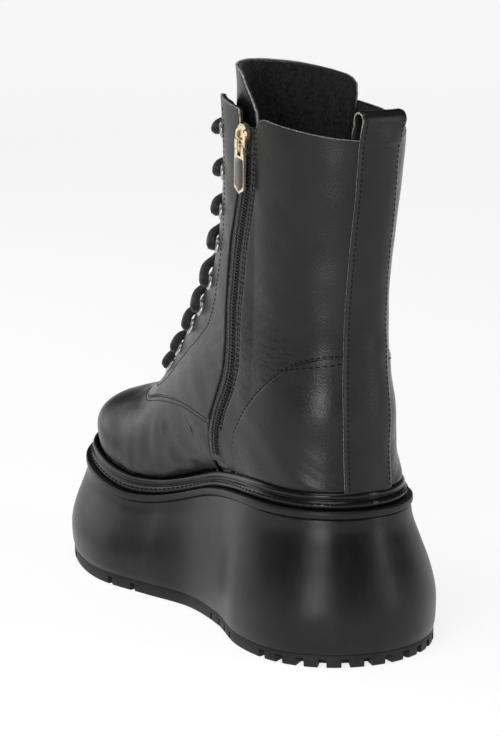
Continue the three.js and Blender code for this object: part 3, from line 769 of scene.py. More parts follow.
def crossing(line, upright=True):
    """The side place where a section crosses a line, as a function of (row, hand)."""
    path = smooth_path(line, 1.0)[::-1]
    along, read = (2, 0) if upright else (0, 2)
    heights, values = (path[:, 1], path[:, 0]) if upright else (path[:, 0], path[:, 1])

    def place(row, hand):
        row = np.atleast_1d(np.asarray(row, float))
        sides = np.linspace(0, 1, 181)
        p = upper_at(row[:, None], hand * sides[None, :])
        ahead = p[..., read] - np.interp(p[..., along], heights, values)
        past = ahead < 0
        first = np.where(past.any(1), past.argmax(1), len(sides) - 1)
        before = np.maximum(first - 1, 0)
        here = np.arange(len(row))
        a, b = ahead[here, before], ahead[here, first]
        share = np.where(first > before, a / np.where(np.abs(a - b) < 1e-9, 1, a - b), 0)
        found = sides[before] + np.clip(share, 0, 1) * (sides[first] - sides[before])
        return np.where(past.any(1), np.where(first == 0, 0, found), 1.0)

    return place


zip_front = crossing(ZIP_FRONT)
zip_rear = crossing(ZIP_REAR)
vamp_seam = crossing(VAMP_SEAM, upright=False)
counter_arc = crossing(COUNTER)


def throat_edge(row, hand):
    """The side place of the throat's edge at a section."""
    row = np.atleast_1d(np.asarray(row, float))
    gap = np.interp(row, [THROAT_ROW, *THROAT.column("row")], [0, *THROAT.column("half_gap")])
    sides = np.linspace(0, 0.6, 121)
    y = upper_at(row[:, None], hand * sides[None, :])[..., 1]
    ridge = UPPER.at("ridge_y", row)[:, None]
    reach = np.maximum.accumulate(np.abs(y - ridge), axis=1)
    return np.array([np.interp(g, r, sides) for g, r in zip(gap, reach)])


def full_edge(row, hand):
    return np.ones(len(np.atleast_1d(row)))


def skirted(row, side):
    """The surface, with side places past the edge going straight down inside the welt."""
    inside = np.clip(side, -1, 1)
    points = upper_at(row, inside)
    drop = np.where(row <= HEEL_ROW + 1e-6, np.abs(side) - np.abs(inside), 0)
    points[..., 2] -= drop * SKIRT_SCALE
    return points


AT_EDGE = 0.9995  # side places from here on count as the upper's edge


def sheet_part(hand, start, end, inner, outer, cell):
    """Grid of one side of a panel, from its inner to its outer limit, in sections start to end."""
    fine = np.linspace(start, end, 300)
    first, last = inner(fine, hand), outer(fine, hand)
    last = np.maximum(last, first)
    shares = np.linspace(0, 1, 5)[None, :]
    probe = upper_at(fine[:, None], hand * (first[:, None] + (last - first)[:, None] * shares))
    step = np.linalg.norm(np.diff(probe, axis=0), axis=2).max(1)
    length = np.concatenate([[0], np.cumsum(step)])
    count = max(3, int(length[-1] / cell) + 1)
    rows = np.interp(np.linspace(0, length[-1], count), length, fine)
    if start < HEEL_ROW < end:
        rows[np.abs(rows - HEEL_ROW).argmin()] = HEEL_ROW
    first, last = inner(rows, hand), np.maximum(outer(rows, hand), inner(rows, hand))
    width = np.linalg.norm(np.diff(probe, axis=1), axis=2).sum(1).max()
    columns = max(10, int(width / cell) + 2)
    u = np.linspace(0, 1, columns)[None, :]
    bend = u[0, -1 - SKIRT_STRIPS]  # where a panel that reaches the welt turns down inside it
    first, last = first[:, None], last[:, None]
    plain = first + (last - first) * u
    down = first + (last - first) * np.minimum(1, u / bend)
    down = down + SKIRT / SKIRT_SCALE * np.clip((u - bend) / (1 - bend), 0, 1)
    sides = np.where(last > AT_EDGE, down, plain)
    grid_rows = np.broadcast_to(rows[:, None], sides.shape)
    points = skirted(grid_rows, hand * sides)
    if hand < 0:
        points = points[:, ::-1]
    return points.reshape(-1, 3), quads(*points.shape[:2]).tolist()


# --- folds, worn into the leather: points, depth, half width -----------------------------------------

# Creases at the ankle behind the zip: height at the zip, height at the back, where they end, depth.
ANKLE_CREASES = [
    (171.0, 175.5, 34, 0.25),
    (163.5, 167.0, 30, 0.3),
    (154.6, 158.5, 27, 0.35),
    (149.0, 147.2, 40, 0.25),
    (146.2, 150.5, 20, 0.25),
    (141.0, 142.8, 33, 0.35),
    (137.8, 136.0, 43, 0.3),
    (135.2, 139.0, 26, 0.3),
    (131.6, 132.0, 37, 0.35),
    (128.4, 131.5, 22, 0.3),
    (124.8, 124.0, 40, 0.25),
]
# Creases in front of the zip, where the instep bends: (x, z) points and depth.
INSTEP_CREASES = [
    ([(77, 150), (88, 146), (98, 147)], 0.25),
    ([(77, 141), (90, 137), (104, 139)], 0.3),
    ([(79, 129), (95, 124), (112, 126)], 0.25),
]
# Folds of the vamp: (x, z) points, depth and half width.
VAMP_FOLDS = [
    ([(139, 87), (117, 90), (97, 93)], 0.8, 2.4),
    ([(146, 80), (122, 82), (102, 84)], 0.35, 3.5),
    ([(195, 84), (185, 74), (182, 62)], 0.5, 5),
    ([(159, 86), (155, 75), (154, 63)], 0.45, 5),
    ([(127, 76), (116, 72), (107, 70)], 0.3, 4),
]


def fold_lines():
    """Points, depth and half width of each fold, on both sides of the upper."""
    folds = []

    def add(line, hand, depth, half):
        folds.append((on_side(smooth_path(line, 3.0), hand)[0], depth, half))

    for hand in (1, -1):
        for near, far, end, depth in ANKLE_CREASES:
            sag = (near + far) / 2 - 1.2
            start = 55 if hand > 0 else 44
            middle = (start + end) / 2
            wander = 1.4 * math.sin(3.1 * near)
            places = [(start, near), ((start + middle) / 2, sag + 0.5 * wander),
                      (middle, sag - 0.4 * wander), ((middle + end) / 2, (sag + far) / 2 + wander),
                      (end, far)]
            add(places, hand, 0.22 * depth, 1.1 + 0.6 * abs(math.sin(near)))
        for line, depth in INSTEP_CREASES:
            add(line, hand, 0.6 * depth, 1.5)
        for line, depth, half in VAMP_FOLDS:
            add(line, hand, depth * 0.6, half)
    return folds


FOLDS = fold_lines()
HEEL_SWELL = 1.3  # the counter's stiffener swells the heel
HEEL_SWELL_HEIGHT = 113


def worn(points):
    """How far the folds and the soft unevenness of the leather move the surface, outwards."""
    total = np.zeros(len(points))
    for line, depth, half in FOLDS:
        d = distance_to(points, line)
        along = np.linalg.norm(points - line[-1], axis=1)
        fade = ease(along / 9) * ease(np.linalg.norm(points - line[0], axis=1) / 3 + 0.35)
        groove = -np.exp(-((d / half) ** 2))
        ridge = 0.45 * np.exp(-(((d - 1.7 * half) / (0.8 * half)) ** 2))
        total += np.where(d < FAR_AWAY, depth * fade * (groove + ridge), 0)
    x, y, z = points.T
    soft = 0.22 * np.sin(0.09 * x + 0.05 * z + 1.3) * np.sin(0.11 * z - 0.07 * y)
    soft += 0.12 * np.sin(0.23 * x - 0.17 * z + 0.6 * np.sin(0.1 * y)) * np.sin(0.19 * y + 0.13 * z + 2)
    heel = np.exp(-(((z - HEEL_SWELL_HEIGHT) / 13) ** 2)) * ease((48 - x) / 40)
    return total + soft + HEEL_SWELL * heel


# --- leather panels ------------------------------------------------------------------------------

# Loops of faces round a cut edge: how far out and how deep each one goes.
EDGE_LOOPS = [(0.28, 0.12), (0.42, 0.45), (0.42, 0.95), (0.25, 1.2), (0.1, 2.5)]
BARE_LOOPS = EDGE_LOOPS[:4]
RAW_ABOVE = 238  # a cut edge shows raw leather above this height, at the collar


def rolled(points, faces, normals, loops):
    """The sheet with loops of faces round its free edges. Gives points, faces and strip numbers."""
    border, rim = free_edges(faces)
    place = {a: i for i, a in enumerate(rim)}
    out = np.zeros((len(rim), 3))
    for a, b in border:
        way = np.cross(points[b] - points[a], normals[a])
        out[place[a]] += way
        out[place[b]] += way
    out = unit(out)
    base, n = points[rim], normals[rim]
    all_points = [points] + [base + out * o - n * d for o, d in loops]
    all_faces, kinds = list(faces), [0] * len(faces)
    start = len(points)
    for level in range(len(loops)):
        below = start + level * len(rim)
        above = below - len(rim)
        for a, b in border:
            i, j = place[a], place[b]
            top = (a, b) if level == 0 else (above + i, above + j)
            all_faces.append([top[1], top[0], below + i, below + j])
            kinds.append(level + 1)
    return np.concatenate(all_points), all_faces, kinds


def panel(name, parts, lift, cell, material, replaces=(), loops=EDGE_LOOPS):
    """A leather panel: its parts' grids welded, lifted off the last, worn and given cut edges."""
    points, faces = join([sheet_part(*part, cell) for part in parts])
    points, faces = weld(points, as_quads(faces))
    normals = normals_of(points, faces)
    points = points + normals * (lift + worn(points))[:, None]
    normals = normals_of(points, faces)
    points, faces, kinds = rolled(points, faces, normals, loops)
    heights = np.array([points[f].mean(0)[2] for f in faces])
    strip = np.array(kinds)
    which = np.where((strip >= 2) & (strip <= 4) & (heights > RAW_ABOVE), 1, 0)
    new_piece(name, points, faces, [material, EDGE], "leather", which, replaces=replaces)
    return points, faces


def vamp_inner(row, hand):
    """The vamp runs on a little under the quarters."""
    return np.where(np.asarray(row) <= TOE_END, 0, np.maximum(0, vamp_seam(row, hand) - 0.12))


def facing_edge(row, hand):
    """The throat edge of the facing, cut back in a slant above its last eyelet."""
    plain = throat_edge(row, hand)
    cut = ease((np.asarray(row) - FACING_CUT) / (COLLAR_ROW - FACING_CUT))
    return plain + (FACING_CORNER - plain) * cut


def quarter_inner(row, hand):
    return facing_edge(row, hand) + np.where(np.asarray(row) < THROAT_ROW, 0, 0.006)


def rear_inner(row, hand):
    """The rear quarter's edge along the zip, rounded off at the collar."""
    near_top = np.clip((np.asarray(row) - CORNER_ROW) / (COLLAR_ROW - CORNER_ROW), 0, 1)
    return zip_rear(row, hand) + CORNER_REACH * (1 - np.sqrt(1 - near_top**2))


def quarter_outer(row, hand):
    """Outer limit of the inner front quarter: the vamp seam, then the zip."""
    return np.minimum(vamp_seam(row, hand), zip_front(row, hand))


def outer_quarter_outer(row, hand):
    """Outer limit of the outer quarter: the vamp seam, then the back seam."""
    return np.where(np.asarray(row) < 10.5, vamp_seam(row, hand), 1)


# Each panel's parts are (hand, first row, last row, inner limit, outer limit).
SHEETS = [
    panel("upper_vamp", [(1, 0, 10.2, vamp_inner, zip_front), (-1, 0, 11.3, vamp_inner, full_edge)],
          VAMP_LIFT, 1.25, LEATHER, replaces=("upper",)),
    panel("upper_quarters", [(1, TOE_END, COLLAR_ROW, quarter_inner, quarter_outer),
                             (-1, TOE_END, COLLAR_ROW, quarter_inner, outer_quarter_outer)],
          QUARTER_LIFT, 1.25, LEATHER),
    panel("upper_rear_quarter", [(1, 8.6, COLLAR_ROW, rear_inner, full_edge)], QUARTER_LIFT, 0.75,
          CREASED_LEATHER),
    panel("upper_counter", [(hand, 9.2, 14.6, counter_arc, full_edge) for hand in (1, -1)],
          COUNTER_LIFT, 1.1, LEATHER, loops=BARE_LOOPS),
]
SKIN_POINTS, SKIN_FACES = join(SHEETS)
SKIN = BVHTree.FromPolygons(SKIN_POINTS.tolist(), SKIN_FACES)


SKIN_ABOVE, SKIN_RANGE = 7, 12  # where a ray down to the leather starts, and how far it looks


def on_skin(points, normals):
    """Places on the finished leather over points of the last, and the leather's directions there."""
    placed, facing = [], []
    for p, n in zip(points, normals):
        hit, normal, _, _ = SKIN.ray_cast(Vector(p + SKIN_ABOVE * n), Vector(-n), SKIN_RANGE)
        if hit is None:
            hit, normal = Vector(p), Vector(n)
        normal = np.array(normal)
        normal = normal if normal @ n > 0 else -normal
        placed.append(np.array(hit))
        facing.append(normal)
    return np.array(placed), np.array(facing)


# --- stitching -----------------------------------------------------------------------------------


def bead(start, end, up, radius, sides=6):
    """A stitch: a short thread with rounded ends, flattened a little onto the leather."""
    along = unit(end - start)
    across = unit(np.cross(along, up))
    rise = np.cross(across, along)
    shares = np.array([0.0, 0.12, 0.5, 0.88, 1.0])
    sizes = np.array([0.35, 0.85, 1.0, 0.85, 0.35])
    dip = np.array([-0.9, -0.1, 0.15, -0.1, -0.9])
    angles = full_turn(sides)
    ring = np.cos(angles)[:, None] * across + 0.8 * np.sin(angles)[:, None] * rise
    centres = start + (end - start) * shares[:, None] + rise * (dip * radius)[:, None]
    points = centres[:, None] + ring[None] * (sizes * radius)[:, None, None]
    return points.reshape(-1, 3), tube_faces(len(shares), sides)


def offset_line(points, normals, distance):
    along = unit(np.gradient(points, axis=0))
    return points + np.cross(normals, along) * distance


def stitch_row(line, hand, offset, pitch=2.5, length=1.75, radius=0.27, first=0.0, last=1.0):
    """Stitches along a line on one side; a positive offset is towards the back and down."""
    path = smooth_path(line, pitch / 2)
    count = len(path)
    path = path[int(first * count):int(math.ceil(last * count))]
    points, normals = on_side(path, hand)
    points = offset_line(points, normals, -hand * offset)
    return beads_along(points, normals, pitch, length, radius)


def beads_along(points, normals, pitch, length, radius):
    """Stitches on the finished leather along a line of the last."""
    steps = run_lengths(points)
    beads = []
    for at in np.arange(0, steps[-1] - length, pitch):
        ends, outs = (np.array([values_at(s, steps, a) for s in (at, at + length)])
                      for a in (points, normals))
        placed, facing = on_skin(ends, unit(outs))
        if np.linalg.norm(placed[1] - placed[0]) < 1.6 * length:
            beads.append(bead(placed[0], placed[1], facing.mean(0), radius))
    return beads


def facing_row(hand):
    """The stitches that hold the facing, on a line down outside the eyelets to the vamp."""
    rows = np.linspace(FACING.rows[0, 0], COLLAR_ROW - 0.1, 150)
    sides = np.interp(rows, FACING.column("row"), FACING.column("side"))
    return beads_along(*at_places(rows, hand * sides), 2.6, 1.9, 0.3)


THREADS = []
for hand in (1, -1):
    THREADS += facing_row(hand)
    for offset in (1.2, 3.2):
        THREADS += stitch_row(VAMP_SEAM, hand, offset, first=0.03, last=0.8 if hand > 0 else 1)
    THREADS += stitch_row(COUNTER, hand, 1.2, 2.9, 2.1, 0.36, 0.03, 0.9)
THREADS += stitch_row(ZIP_FRONT, 1, -1.3, first=0.08, last=0.86)
THREADS += stitch_row(ZIP_REAR, 1, 1.3, first=0.08, last=0.86)
THREADS += stitch_row(ZIP_REAR, 1, 3.1, first=0.08, last=0.86)
new_piece("stitching", *join(THREADS), [THREAD], "leather")

# --- lining, tongue and back strip -----------------------------------------------------------------


ZIP_OPEN_ROW = 17.5  # the zip stands open above this section
LINING_DEPTH = 2.3
LINING_CELL = 3.0


def lining():
    """The fleece inside the shaft and the vamp, up to the throat and the collar."""
    parts = [
        (-1, 0.3, COLLAR_ROW, facing_edge, full_edge),
        (1, 0.3, ZIP_OPEN_ROW, throat_edge, full_edge),
        (1, ZIP_OPEN_ROW, COLLAR_ROW, facing_edge, zip_front),
        (1, ZIP_OPEN_ROW, COLLAR_ROW, rear_inner, full_edge),
    ]
    points, faces = join([sheet_part(*part, LINING_CELL) for part in parts])
    points, faces = weld(points, as_quads(faces))
    normals = normals_of(points, faces)
    rough = 0.12 * np.sin(1.7 * points[:, 0] + 0.9 * points[:, 2]) * np.sin(1.3 * points[:, 2])
    points = points - normals * (LINING_DEPTH + rough)[:, None]
    new_piece("upper_lining", points, turned(faces), [FLEECE], "lining")


TUCK_START, TUCK_LENGTH = 16.4, 1.2  # sections over which the tongue's top leans out
TONGUE_THICK = 1.1
TONGUE_UNDER = 1.6  # it lies this much deeper behind the laces
UNDER_END, UNDER_LENGTH = 17.6, 1.2
FLEECE_GAP = 0.15  # between the tongue's leather and its fleece


def tongue_place(row, share):
    """Row and side of a tongue point: share runs from the outer (0) to the inner (1) edge."""
    medial = np.interp(row, TONGUE.column("row"), TONGUE.column("medial"))
    lateral = np.interp(row, TONGUE.column("row"), TONGUE.column("lateral"))
    return (medial + lateral) * share - lateral


def tongue():
    """The tongue's leather and the fleece on its inside."""
    count, columns = 230, 61
    rows = np.linspace(TONGUE.column("row")[0], TONGUE.column("row")[-1], count)[:, None]
    shares = np.linspace(0, 1, columns)[None, :]
    sides = tongue_place(rows, shares)
    grid_rows = np.broadcast_to(rows, sides.shape)
    base = upper_at(grid_rows, sides)
    leaning = ease((grid_rows - TUCK_START) / TUCK_LENGTH)
    base[..., 1] -= TONGUE_TUCK * leaning * ease((sides + 0.1) / 0.35)
    faces = quads(count, columns).tolist()
    base = base.reshape(-1, 3)
    normals = normals_of(base, faces)
    under = TONGUE_UNDER * ease((UNDER_END - grid_rows.reshape(-1)) / UNDER_LENGTH)
    edge = np.minimum(shares, 1 - shares) * np.ones_like(sides)
    pillow = 0.9 * ease(edge.reshape(-1) / 0.08)
    wave = 0.5 * np.sin(0.12 * base[:, 2] + 0.15 * base[:, 1])
    outer = base - normals * (TONGUE_DEPTH + under - wave)[:, None]
    back = base - normals * (TONGUE_DEPTH + TONGUE_THICK + under - wave)[:, None]
    points, all_faces, kinds = wall_between(outer, faces, back, 0.9)
    new_piece("tongue", points, all_faces, [LEATHER, EDGE], "leather",
              [1 if k == 1 else 0 for k in kinds], replaces=("tongue",))
    fluff = 0.25 * np.sin(1.9 * base[:, 1] + 0.8 * base[:, 2]) * np.sin(1.3 * base[:, 2] + base[:, 0])
    near = base - normals * (TONGUE_DEPTH + TONGUE_THICK + FLEECE_GAP + under - wave)[:, None]
    far = near - normals * (0.5 + pillow + fluff * pillow)[:, None]
    points, all_faces, _ = wall_between(near, faces, far, 0.5)
    new_piece("tongue_lining", points, all_faces, [FLEECE], "lining")


tongue()
lining()

STRIP_HALF = 11.5
STRIP_THICK = 1.5
STRIP_LIFT = 0.6
STRIP_STEP = 1.5
STRIP_FOOT, STRIP_BEND = 74, 240.8  # heights where it starts, and where it leaves the leather
COLLAR_UNDER = 241.7  # a height just under the collar's back edge
COUNTER_TOP = 143
COUNTER_FADE = 14  # the strip comes down off the counter over this height
LOOP_CENTRE = (1.2, 9.5)  # middle of the loop's round, back from and above the collar's back
LOOP_RADIUS = 4
LOOP_TURN = 0.45
LOOP_LEAN = -0.02
LOOP_FLATTEN = 0.8
COLLAR_X, COLLAR_Z = BACK.rows[-1]
THREAD_RADIUS = 0.27


BEHIND = -60  # where rays towards the back start from
OFF_SEAM = 0.05  # a ray straight at the seam could slip between its faces


def back_point(z, y):
    """Point and direction of the leather at the back, at a height and a place across."""
    return cast((BEHIND, y if abs(y) > OFF_SEAM else OFF_SEAM, z), (1, 0, 0))


def band_line():
    """The strip's line over the collar, as (x, z) from the collar's back."""
    cx, cz = LOOP_CENTRE
    angles = np.linspace(math.pi + LOOP_TURN, -LOOP_TURN, 26)
    bend = np.stack([cx + LOOP_RADIUS * np.cos(angles), cz + LOOP_RADIUS * np.sin(angles)], -1)
    outer = [(-2.2, -0.5), (-2.3, 2)]
    inner = [(5.2, 2), (4.6, -2), (4.6, -12)]
    return np.concatenate([outer, bend, inner])


def back_strip():
    """The strip up the back seam, over the collar as the pull loop and down inside."""
    across = np.linspace(-1, 1, 25)
    rows = []
    for z in np.arange(STRIP_FOOT, STRIP_BEND, STRIP_STEP):
        half = STRIP_HALF + 0.8 * math.sin(0.02 * z)
        line = []
        for y in across * half:
            point, normal = back_point(max(z, HEEL_SEAT + 1), y)
            if z < HEEL_SEAT + 1:
                point = point + [0, 0, z - HEEL_SEAT - 1]
            on_counter = float(ease((COUNTER_TOP + COUNTER_FADE - z) / COUNTER_FADE))
            lift = STRIP_LIFT + (COUNTER_LIFT - QUARTER_LIFT) * on_counter
            line.append(point + normal * (QUARTER_LIFT + lift + worn(point[None])[0]))
        rows.append(line)
    collar = [back_point(COLLAR_UNDER, y)[0] for y in across * STRIP_HALF]
    wrap = np.array([p[0] for p in collar]) - collar[len(collar) // 2][0]
    for x, z in smooth_path(band_line(), 0.9):
        above = max(0, z)
        shift = wrap * (1 - LOOP_FLATTEN * float(ease(1.6 * above / 15.5)))
        rows.append([(COLLAR_X + x + LOOP_LEAN * above + s, y, COLLAR_Z + z + 0.15 * s)
                     for s, y in zip(shift, across * STRIP_HALF)])
    grid = np.array(rows)
    count, columns = grid.shape[:2]
    faces = quads(count, columns).tolist()
    points = grid.reshape(-1, 3)
    normals = normals_of(points, faces)
    low_middle = columns * 20 + columns // 2
    if normals[low_middle][0] > 0:
        normals = -normals
        faces = turned(faces)
    edge = np.abs(np.broadcast_to(across, (count, columns))).reshape(-1)
    round_off = 0.5 * ease((edge - 0.86) / 0.14)
    outer = points + normals * (STRIP_THICK / 2 - round_off)[:, None]
    inner = points - normals * (STRIP_THICK / 2)
    points, all_faces, kinds = wall_between(outer, faces, inner, 0.8)
    new_piece("back_strip", points, all_faces, [STRIP_LEATHER, EDGE], "leather",
              [1 if k == 1 else 0 for k in kinds], replaces=("pull_loop",))
    return outer.reshape(count, columns, 3), normals.reshape(count, columns, 3), across


STRIP, STRIP_NORMALS, STRIP_PLACES = back_strip()


def strip_threads():
    """Two rows of stitches along the strip, and one across it under the loop."""
    beads = []
    for place in (-0.8, 0.8):
        column = int(np.abs(STRIP_PLACES - place).argmin())
        path, facing = STRIP[:, column], STRIP_NORMALS[:, column]
        steps = run_lengths(path)
        for at in np.arange(1, steps[-1] - 14, 2.5):
            a, b = (values_at(s, steps, path) for s in (at, at + 1.75))
            beads.append(bead(a, b, values_at(at, steps, facing), THREAD_RADIUS))
    level = int(np.abs(STRIP[:, 12, 2] - RAW_ABOVE).argmin())
    path, facing = STRIP[level], STRIP_NORMALS[level]
    for k in range(3, 21, 2):
        a, b = path[k], path[k] + (path[k + 2] - path[k]) * 0.85
        beads.append(bead(a, b, facing[k], THREAD_RADIUS))
    return beads


new_piece("strip_stitching", *join(strip_threads()), [THREAD], "leather")


# --- zip -------------------------------------------------------------------------------------------

TAPE_HALF = 12
TAPE_TOP = 247
TAPE_DEPTH = 0.7  # below the last's surface
TAPE_THICK = 0.8
TAPE_STEP = 1.2
COIL_PITCH = 1.66
COIL_TOP = 236
COIL_BOTTOM = 84


def uv_map(piece, values):
    """A UV map from one (u, v) for each vertex, in millimetres."""
    mesh = piece.data
    layer = mesh.uv_layers.new(name="UVMap")
    loops = np.zeros(len(mesh.loops), int)
    mesh.loops.foreach_get("vertex_index", loops)
    layer.data.foreach_set("uv", np.asarray(values, float)[loops].ravel())


def zip_frame(step):
    """Centres, across and outward directions down the zip."""
    path = smooth_path(ZIP.rows, step)
    path = path[path[:, 1] < TAPE_TOP]
    centres, normals = on_side(path, 1)
    for _ in range(3):
        normals[1:-1] = unit(normals[:-2] + 2 * normals[1:-1] + normals[2:])
    along = unit(np.gradient(centres, axis=0))
    return centres, unit(np.cross(along, normals)), normals


def zip_tape():
    """The woven tape, raised a little under the coil."""
    centres, across, _ = zip_frame(TAPE_STEP)
    places = np.linspace(-TAPE_HALF, TAPE_HALF, 31)
    rows = []
    for c, a in zip(centres, across):
        line = []
        for t in places:
            guess = c + a * t
            point, normal = cast((guess[0], OUTSIDE, guess[2]), (0, -1, 0))
            raised = 0.25 * math.exp(-((t / 3.4) ** 4))
            line.append(point - normal * (TAPE_DEPTH - raised))
        rows.append(line)
    grid = np.array(rows)
    faces = quads(*grid.shape[:2]).tolist()
    points = grid.reshape(-1, 3)
    normals = normals_of(points, faces)
    if normals[:, 1].mean() < 0:
        faces = turned(faces)
        normals = -normals
    all_points, all_faces, _ = wall_between(points, faces, points - normals * TAPE_THICK, 0.5)
    piece = new_piece("zip_tape", all_points, all_faces, [TAPE], "zip_tape", replaces=("zip_band",))
    u, v = np.meshgrid(places, np.arange(len(centres)) * TAPE_STEP)
    flat = np.stack([u.ravel(), v.ravel()], -1)
    rim = len(all_points) - 2 * len(points)
    uv_map(piece, np.concatenate([flat, flat, np.zeros((rim, 2))]))


def zip_coil():
    """Two columns of interlocked coil turns down the middle of the tape."""
    centres, across, normals = zip_frame(COIL_PITCH / 2)
    beads = []
    for i, (c, a, n) in enumerate(zip(centres, across, normals)):
        if not COIL_BOTTOM < c[2] < COIL_TOP - 1:
            continue
        side = 1 if i % 2 else -1
        point = c - n * (TAPE_DEPTH - 1.0)
        beads.append(bead(point - a * side * 0.5, point + a * side * 3.1, n, 0.78, sides=8))
    new_piece("zip_coil", *join(beads), [COIL], "zip_tape")


zip_tape()
zip_coil()


# --- slider and pull ---------------------------------------------------------------------------------

PIVOT = np.array([-70.46, 43.37, 238.16]) + ORIGIN
ZIP_ACROSS = np.array([0.99047, 0.00871, 0.13743])
ZIP_OUT = np.array([0, 0.998, -0.0632])
ZIP_UP = np.array([-0.1377, 0.0626, 0.9885])
# The pull tab, down from the hinge: the bar at its top, the hole under it, and its whole length.
PULL = {"top": -2.0, "width": 8.6, "thickness": 1.3, "bar": 1.3, "hole": 4.6, "length": 24}
PIVOT_OUT = 3.85  # the hinge above the leather, and below the middle of the slider
PIVOT_UP = -2.65


def in_slider(points):
    """Points of the slider's own frame (across, out, up) in the last's frame."""
    p = np.asarray(points, float)
    centre = PIVOT - ZIP_OUT * PIVOT_OUT - ZIP_UP * PIVOT_UP
    return centre + p[:, :1] * ZIP_ACROSS + p[:, 1:2] * ZIP_OUT + p[:, 2:] * ZIP_UP


def rounded_plate(outline, low, high, bevel):
    """A plate with rounded edges over a convex outline of (across, up) points."""
    outline = np.asarray(outline, float)
    middle = (outline.max(0) + outline.min(0)) / 2
    size = np.abs(outline - middle).max()
    rings = []
    levels = [(low, bevel), (low + 0.3 * bevel, 0.3 * bevel), (low + bevel, 0), (high - bevel, 0),
              (high - 0.3 * bevel, 0.3 * bevel), (high, bevel)]
    for height, inset in levels:
        ring = middle + (outline - middle) * (1 - inset / size)
        rings.append(np.stack([ring[:, 0], np.full(len(ring), height), ring[:, 1]], -1))
    points = np.concatenate(rings)
    return points, facing_out(points, tube_faces(len(rings), len(outline)))


def pull_face():
    """The black enamel laid into the front of the pull tab."""
    top = PULL["top"] - PULL["bar"] - PULL["hole"] - 1.2
    bottom = PULL["top"] - PULL["length"] + 1.2
    half = PULL["width"] / 2 - 0.85
    side = [(half - 0.9, top), (half - 0.25, top - 0.35), (half, top - 1.2), (half, bottom + 2.9)]
    tip = [(half * 0.5, bottom + 1.15), (0, bottom)]
    outline = side + tip + [(-x, z) for x, z in reversed(side + tip[:1])]
    face = PIVOT_OUT + PULL["thickness"] / 2
    points, faces = rounded_plate(outline, face - 0.3, face + 0.35, 0.3)
    new_piece("pull_face", in_slider(points), faces, [ENAMEL], "gold_metal", body="pull_tab")


def slider_trim():
    """The two raised cheeks of the slider, either side of its bridge."""
    parts = []
    for side in (1, -1):
        path = [(side * 1.2, 2.6, 5.6), (side * 2.9, 3.5, 3.6), (side * 3.5, 3.7, 0),
                (side * 2.9, 3.5, -3.4), (side * 1.9, 2.7, -5.6)]
        line = smooth_path(path, 0.5)
        angles = full_turn(12)
        ring = np.stack([np.cos(angles), np.sin(angles)], -1) * 0.75
        points, faces = sweep(line, np.broadcast_to(ring, (len(line), *ring.shape)))
        parts.append((points, facing_out(points, faces)))
    points, faces = join(parts)
    new_piece("slider_cheeks", in_slider(points), faces, [GOLD], "gold_metal")


def soften(node, material, width):
    """A kept CAD node with a better material and rounded edges."""
    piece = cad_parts[node]
    piece.data.materials.clear()
    piece.data.materials.append(material)
    if width:
        bevel = piece.modifiers.new("rounded", "BEVEL")
        bevel.width = width * MM
        bevel.segments = 3
        bevel.limit_method = "ANGLE"
        bevel.angle_limit = math.radians(25)


soften("zip_slider", GOLD, 0.45)
soften("zip_pull", GOLD, 0.35)
soften("insole", FLEECE, 0)
pull_face()
slider_trim()


# --- eyelets and lace ----------------------------------------------------------------------------


def eyelet_at(pair, hand):
    """Middle and outward direction of an eyelet on the finished leather."""
    row, side = EYELETS.rows[pair]
    point, normal = at_places(np.array(row), np.array(hand * side))
    placed, facing = on_skin([point], [normal])
    return placed[0], unit(facing[0] + normal)


def eyelet(pair, hand):
    """A rolled eyelet ring, its barrel going down through the leather."""
    point, out = eyelet_at(pair, hand)
    bore, flange = EYELET_BORE, EYELET_FLANGE
    profile = [(bore, -2.6), (bore, 0.5), (bore + 0.12, 0.85), (bore + 0.45, 1.08),
               (bore + 0.85, 1.08), (flange - 0.55, 0.8), (flange - 0.15, 0.4), (flange, 0.0),
               (flange, -0.25), (bore + 0.4, -0.25), (bore + 0.4, -2.6)]
    turns = 28
    side = unit(np.cross(out, [0.3, 0.2, 1.0]))
    other = np.cross(out, side)
    angles = full_turn(turns)
    wheel = np.cos(angles)[:, None] * side + np.sin(angles)[:, None] * other
    rings = [point + wheel * r + out * h for r, h in profile]
    points = np.array(rings).reshape(-1, 3)
    faces = (quads(len(rings) + 1, turns, closed=True) % len(points)).tolist()
    crest = 4 * turns
    return points, turned(faces) if normals_of(points, faces)[crest] @ out < 0 else faces


PAIRS = len(EYELETS.rows)
RINGS = [eyelet(pair, hand) for pair in range(PAIRS) for hand in (1, -1)]
new_piece("eyelets", *join(RINGS), [NICKEL], "eyelet_metal",
          replaces=[f"eyelet_{side}_{pair + 1}" for pair in range(PAIRS) for side in ("inner", "outer")])


UPPER_PASS, LOWER_PASS = 1.6, -2.6  # heights of the two halves of the lace where they cross
BRAID = 0.13  # height of its braid


def over(row, side, height):
    """A point over the last's surface."""
    point, normal = at_places(np.array(row), np.array(side))
    return point + normal * height


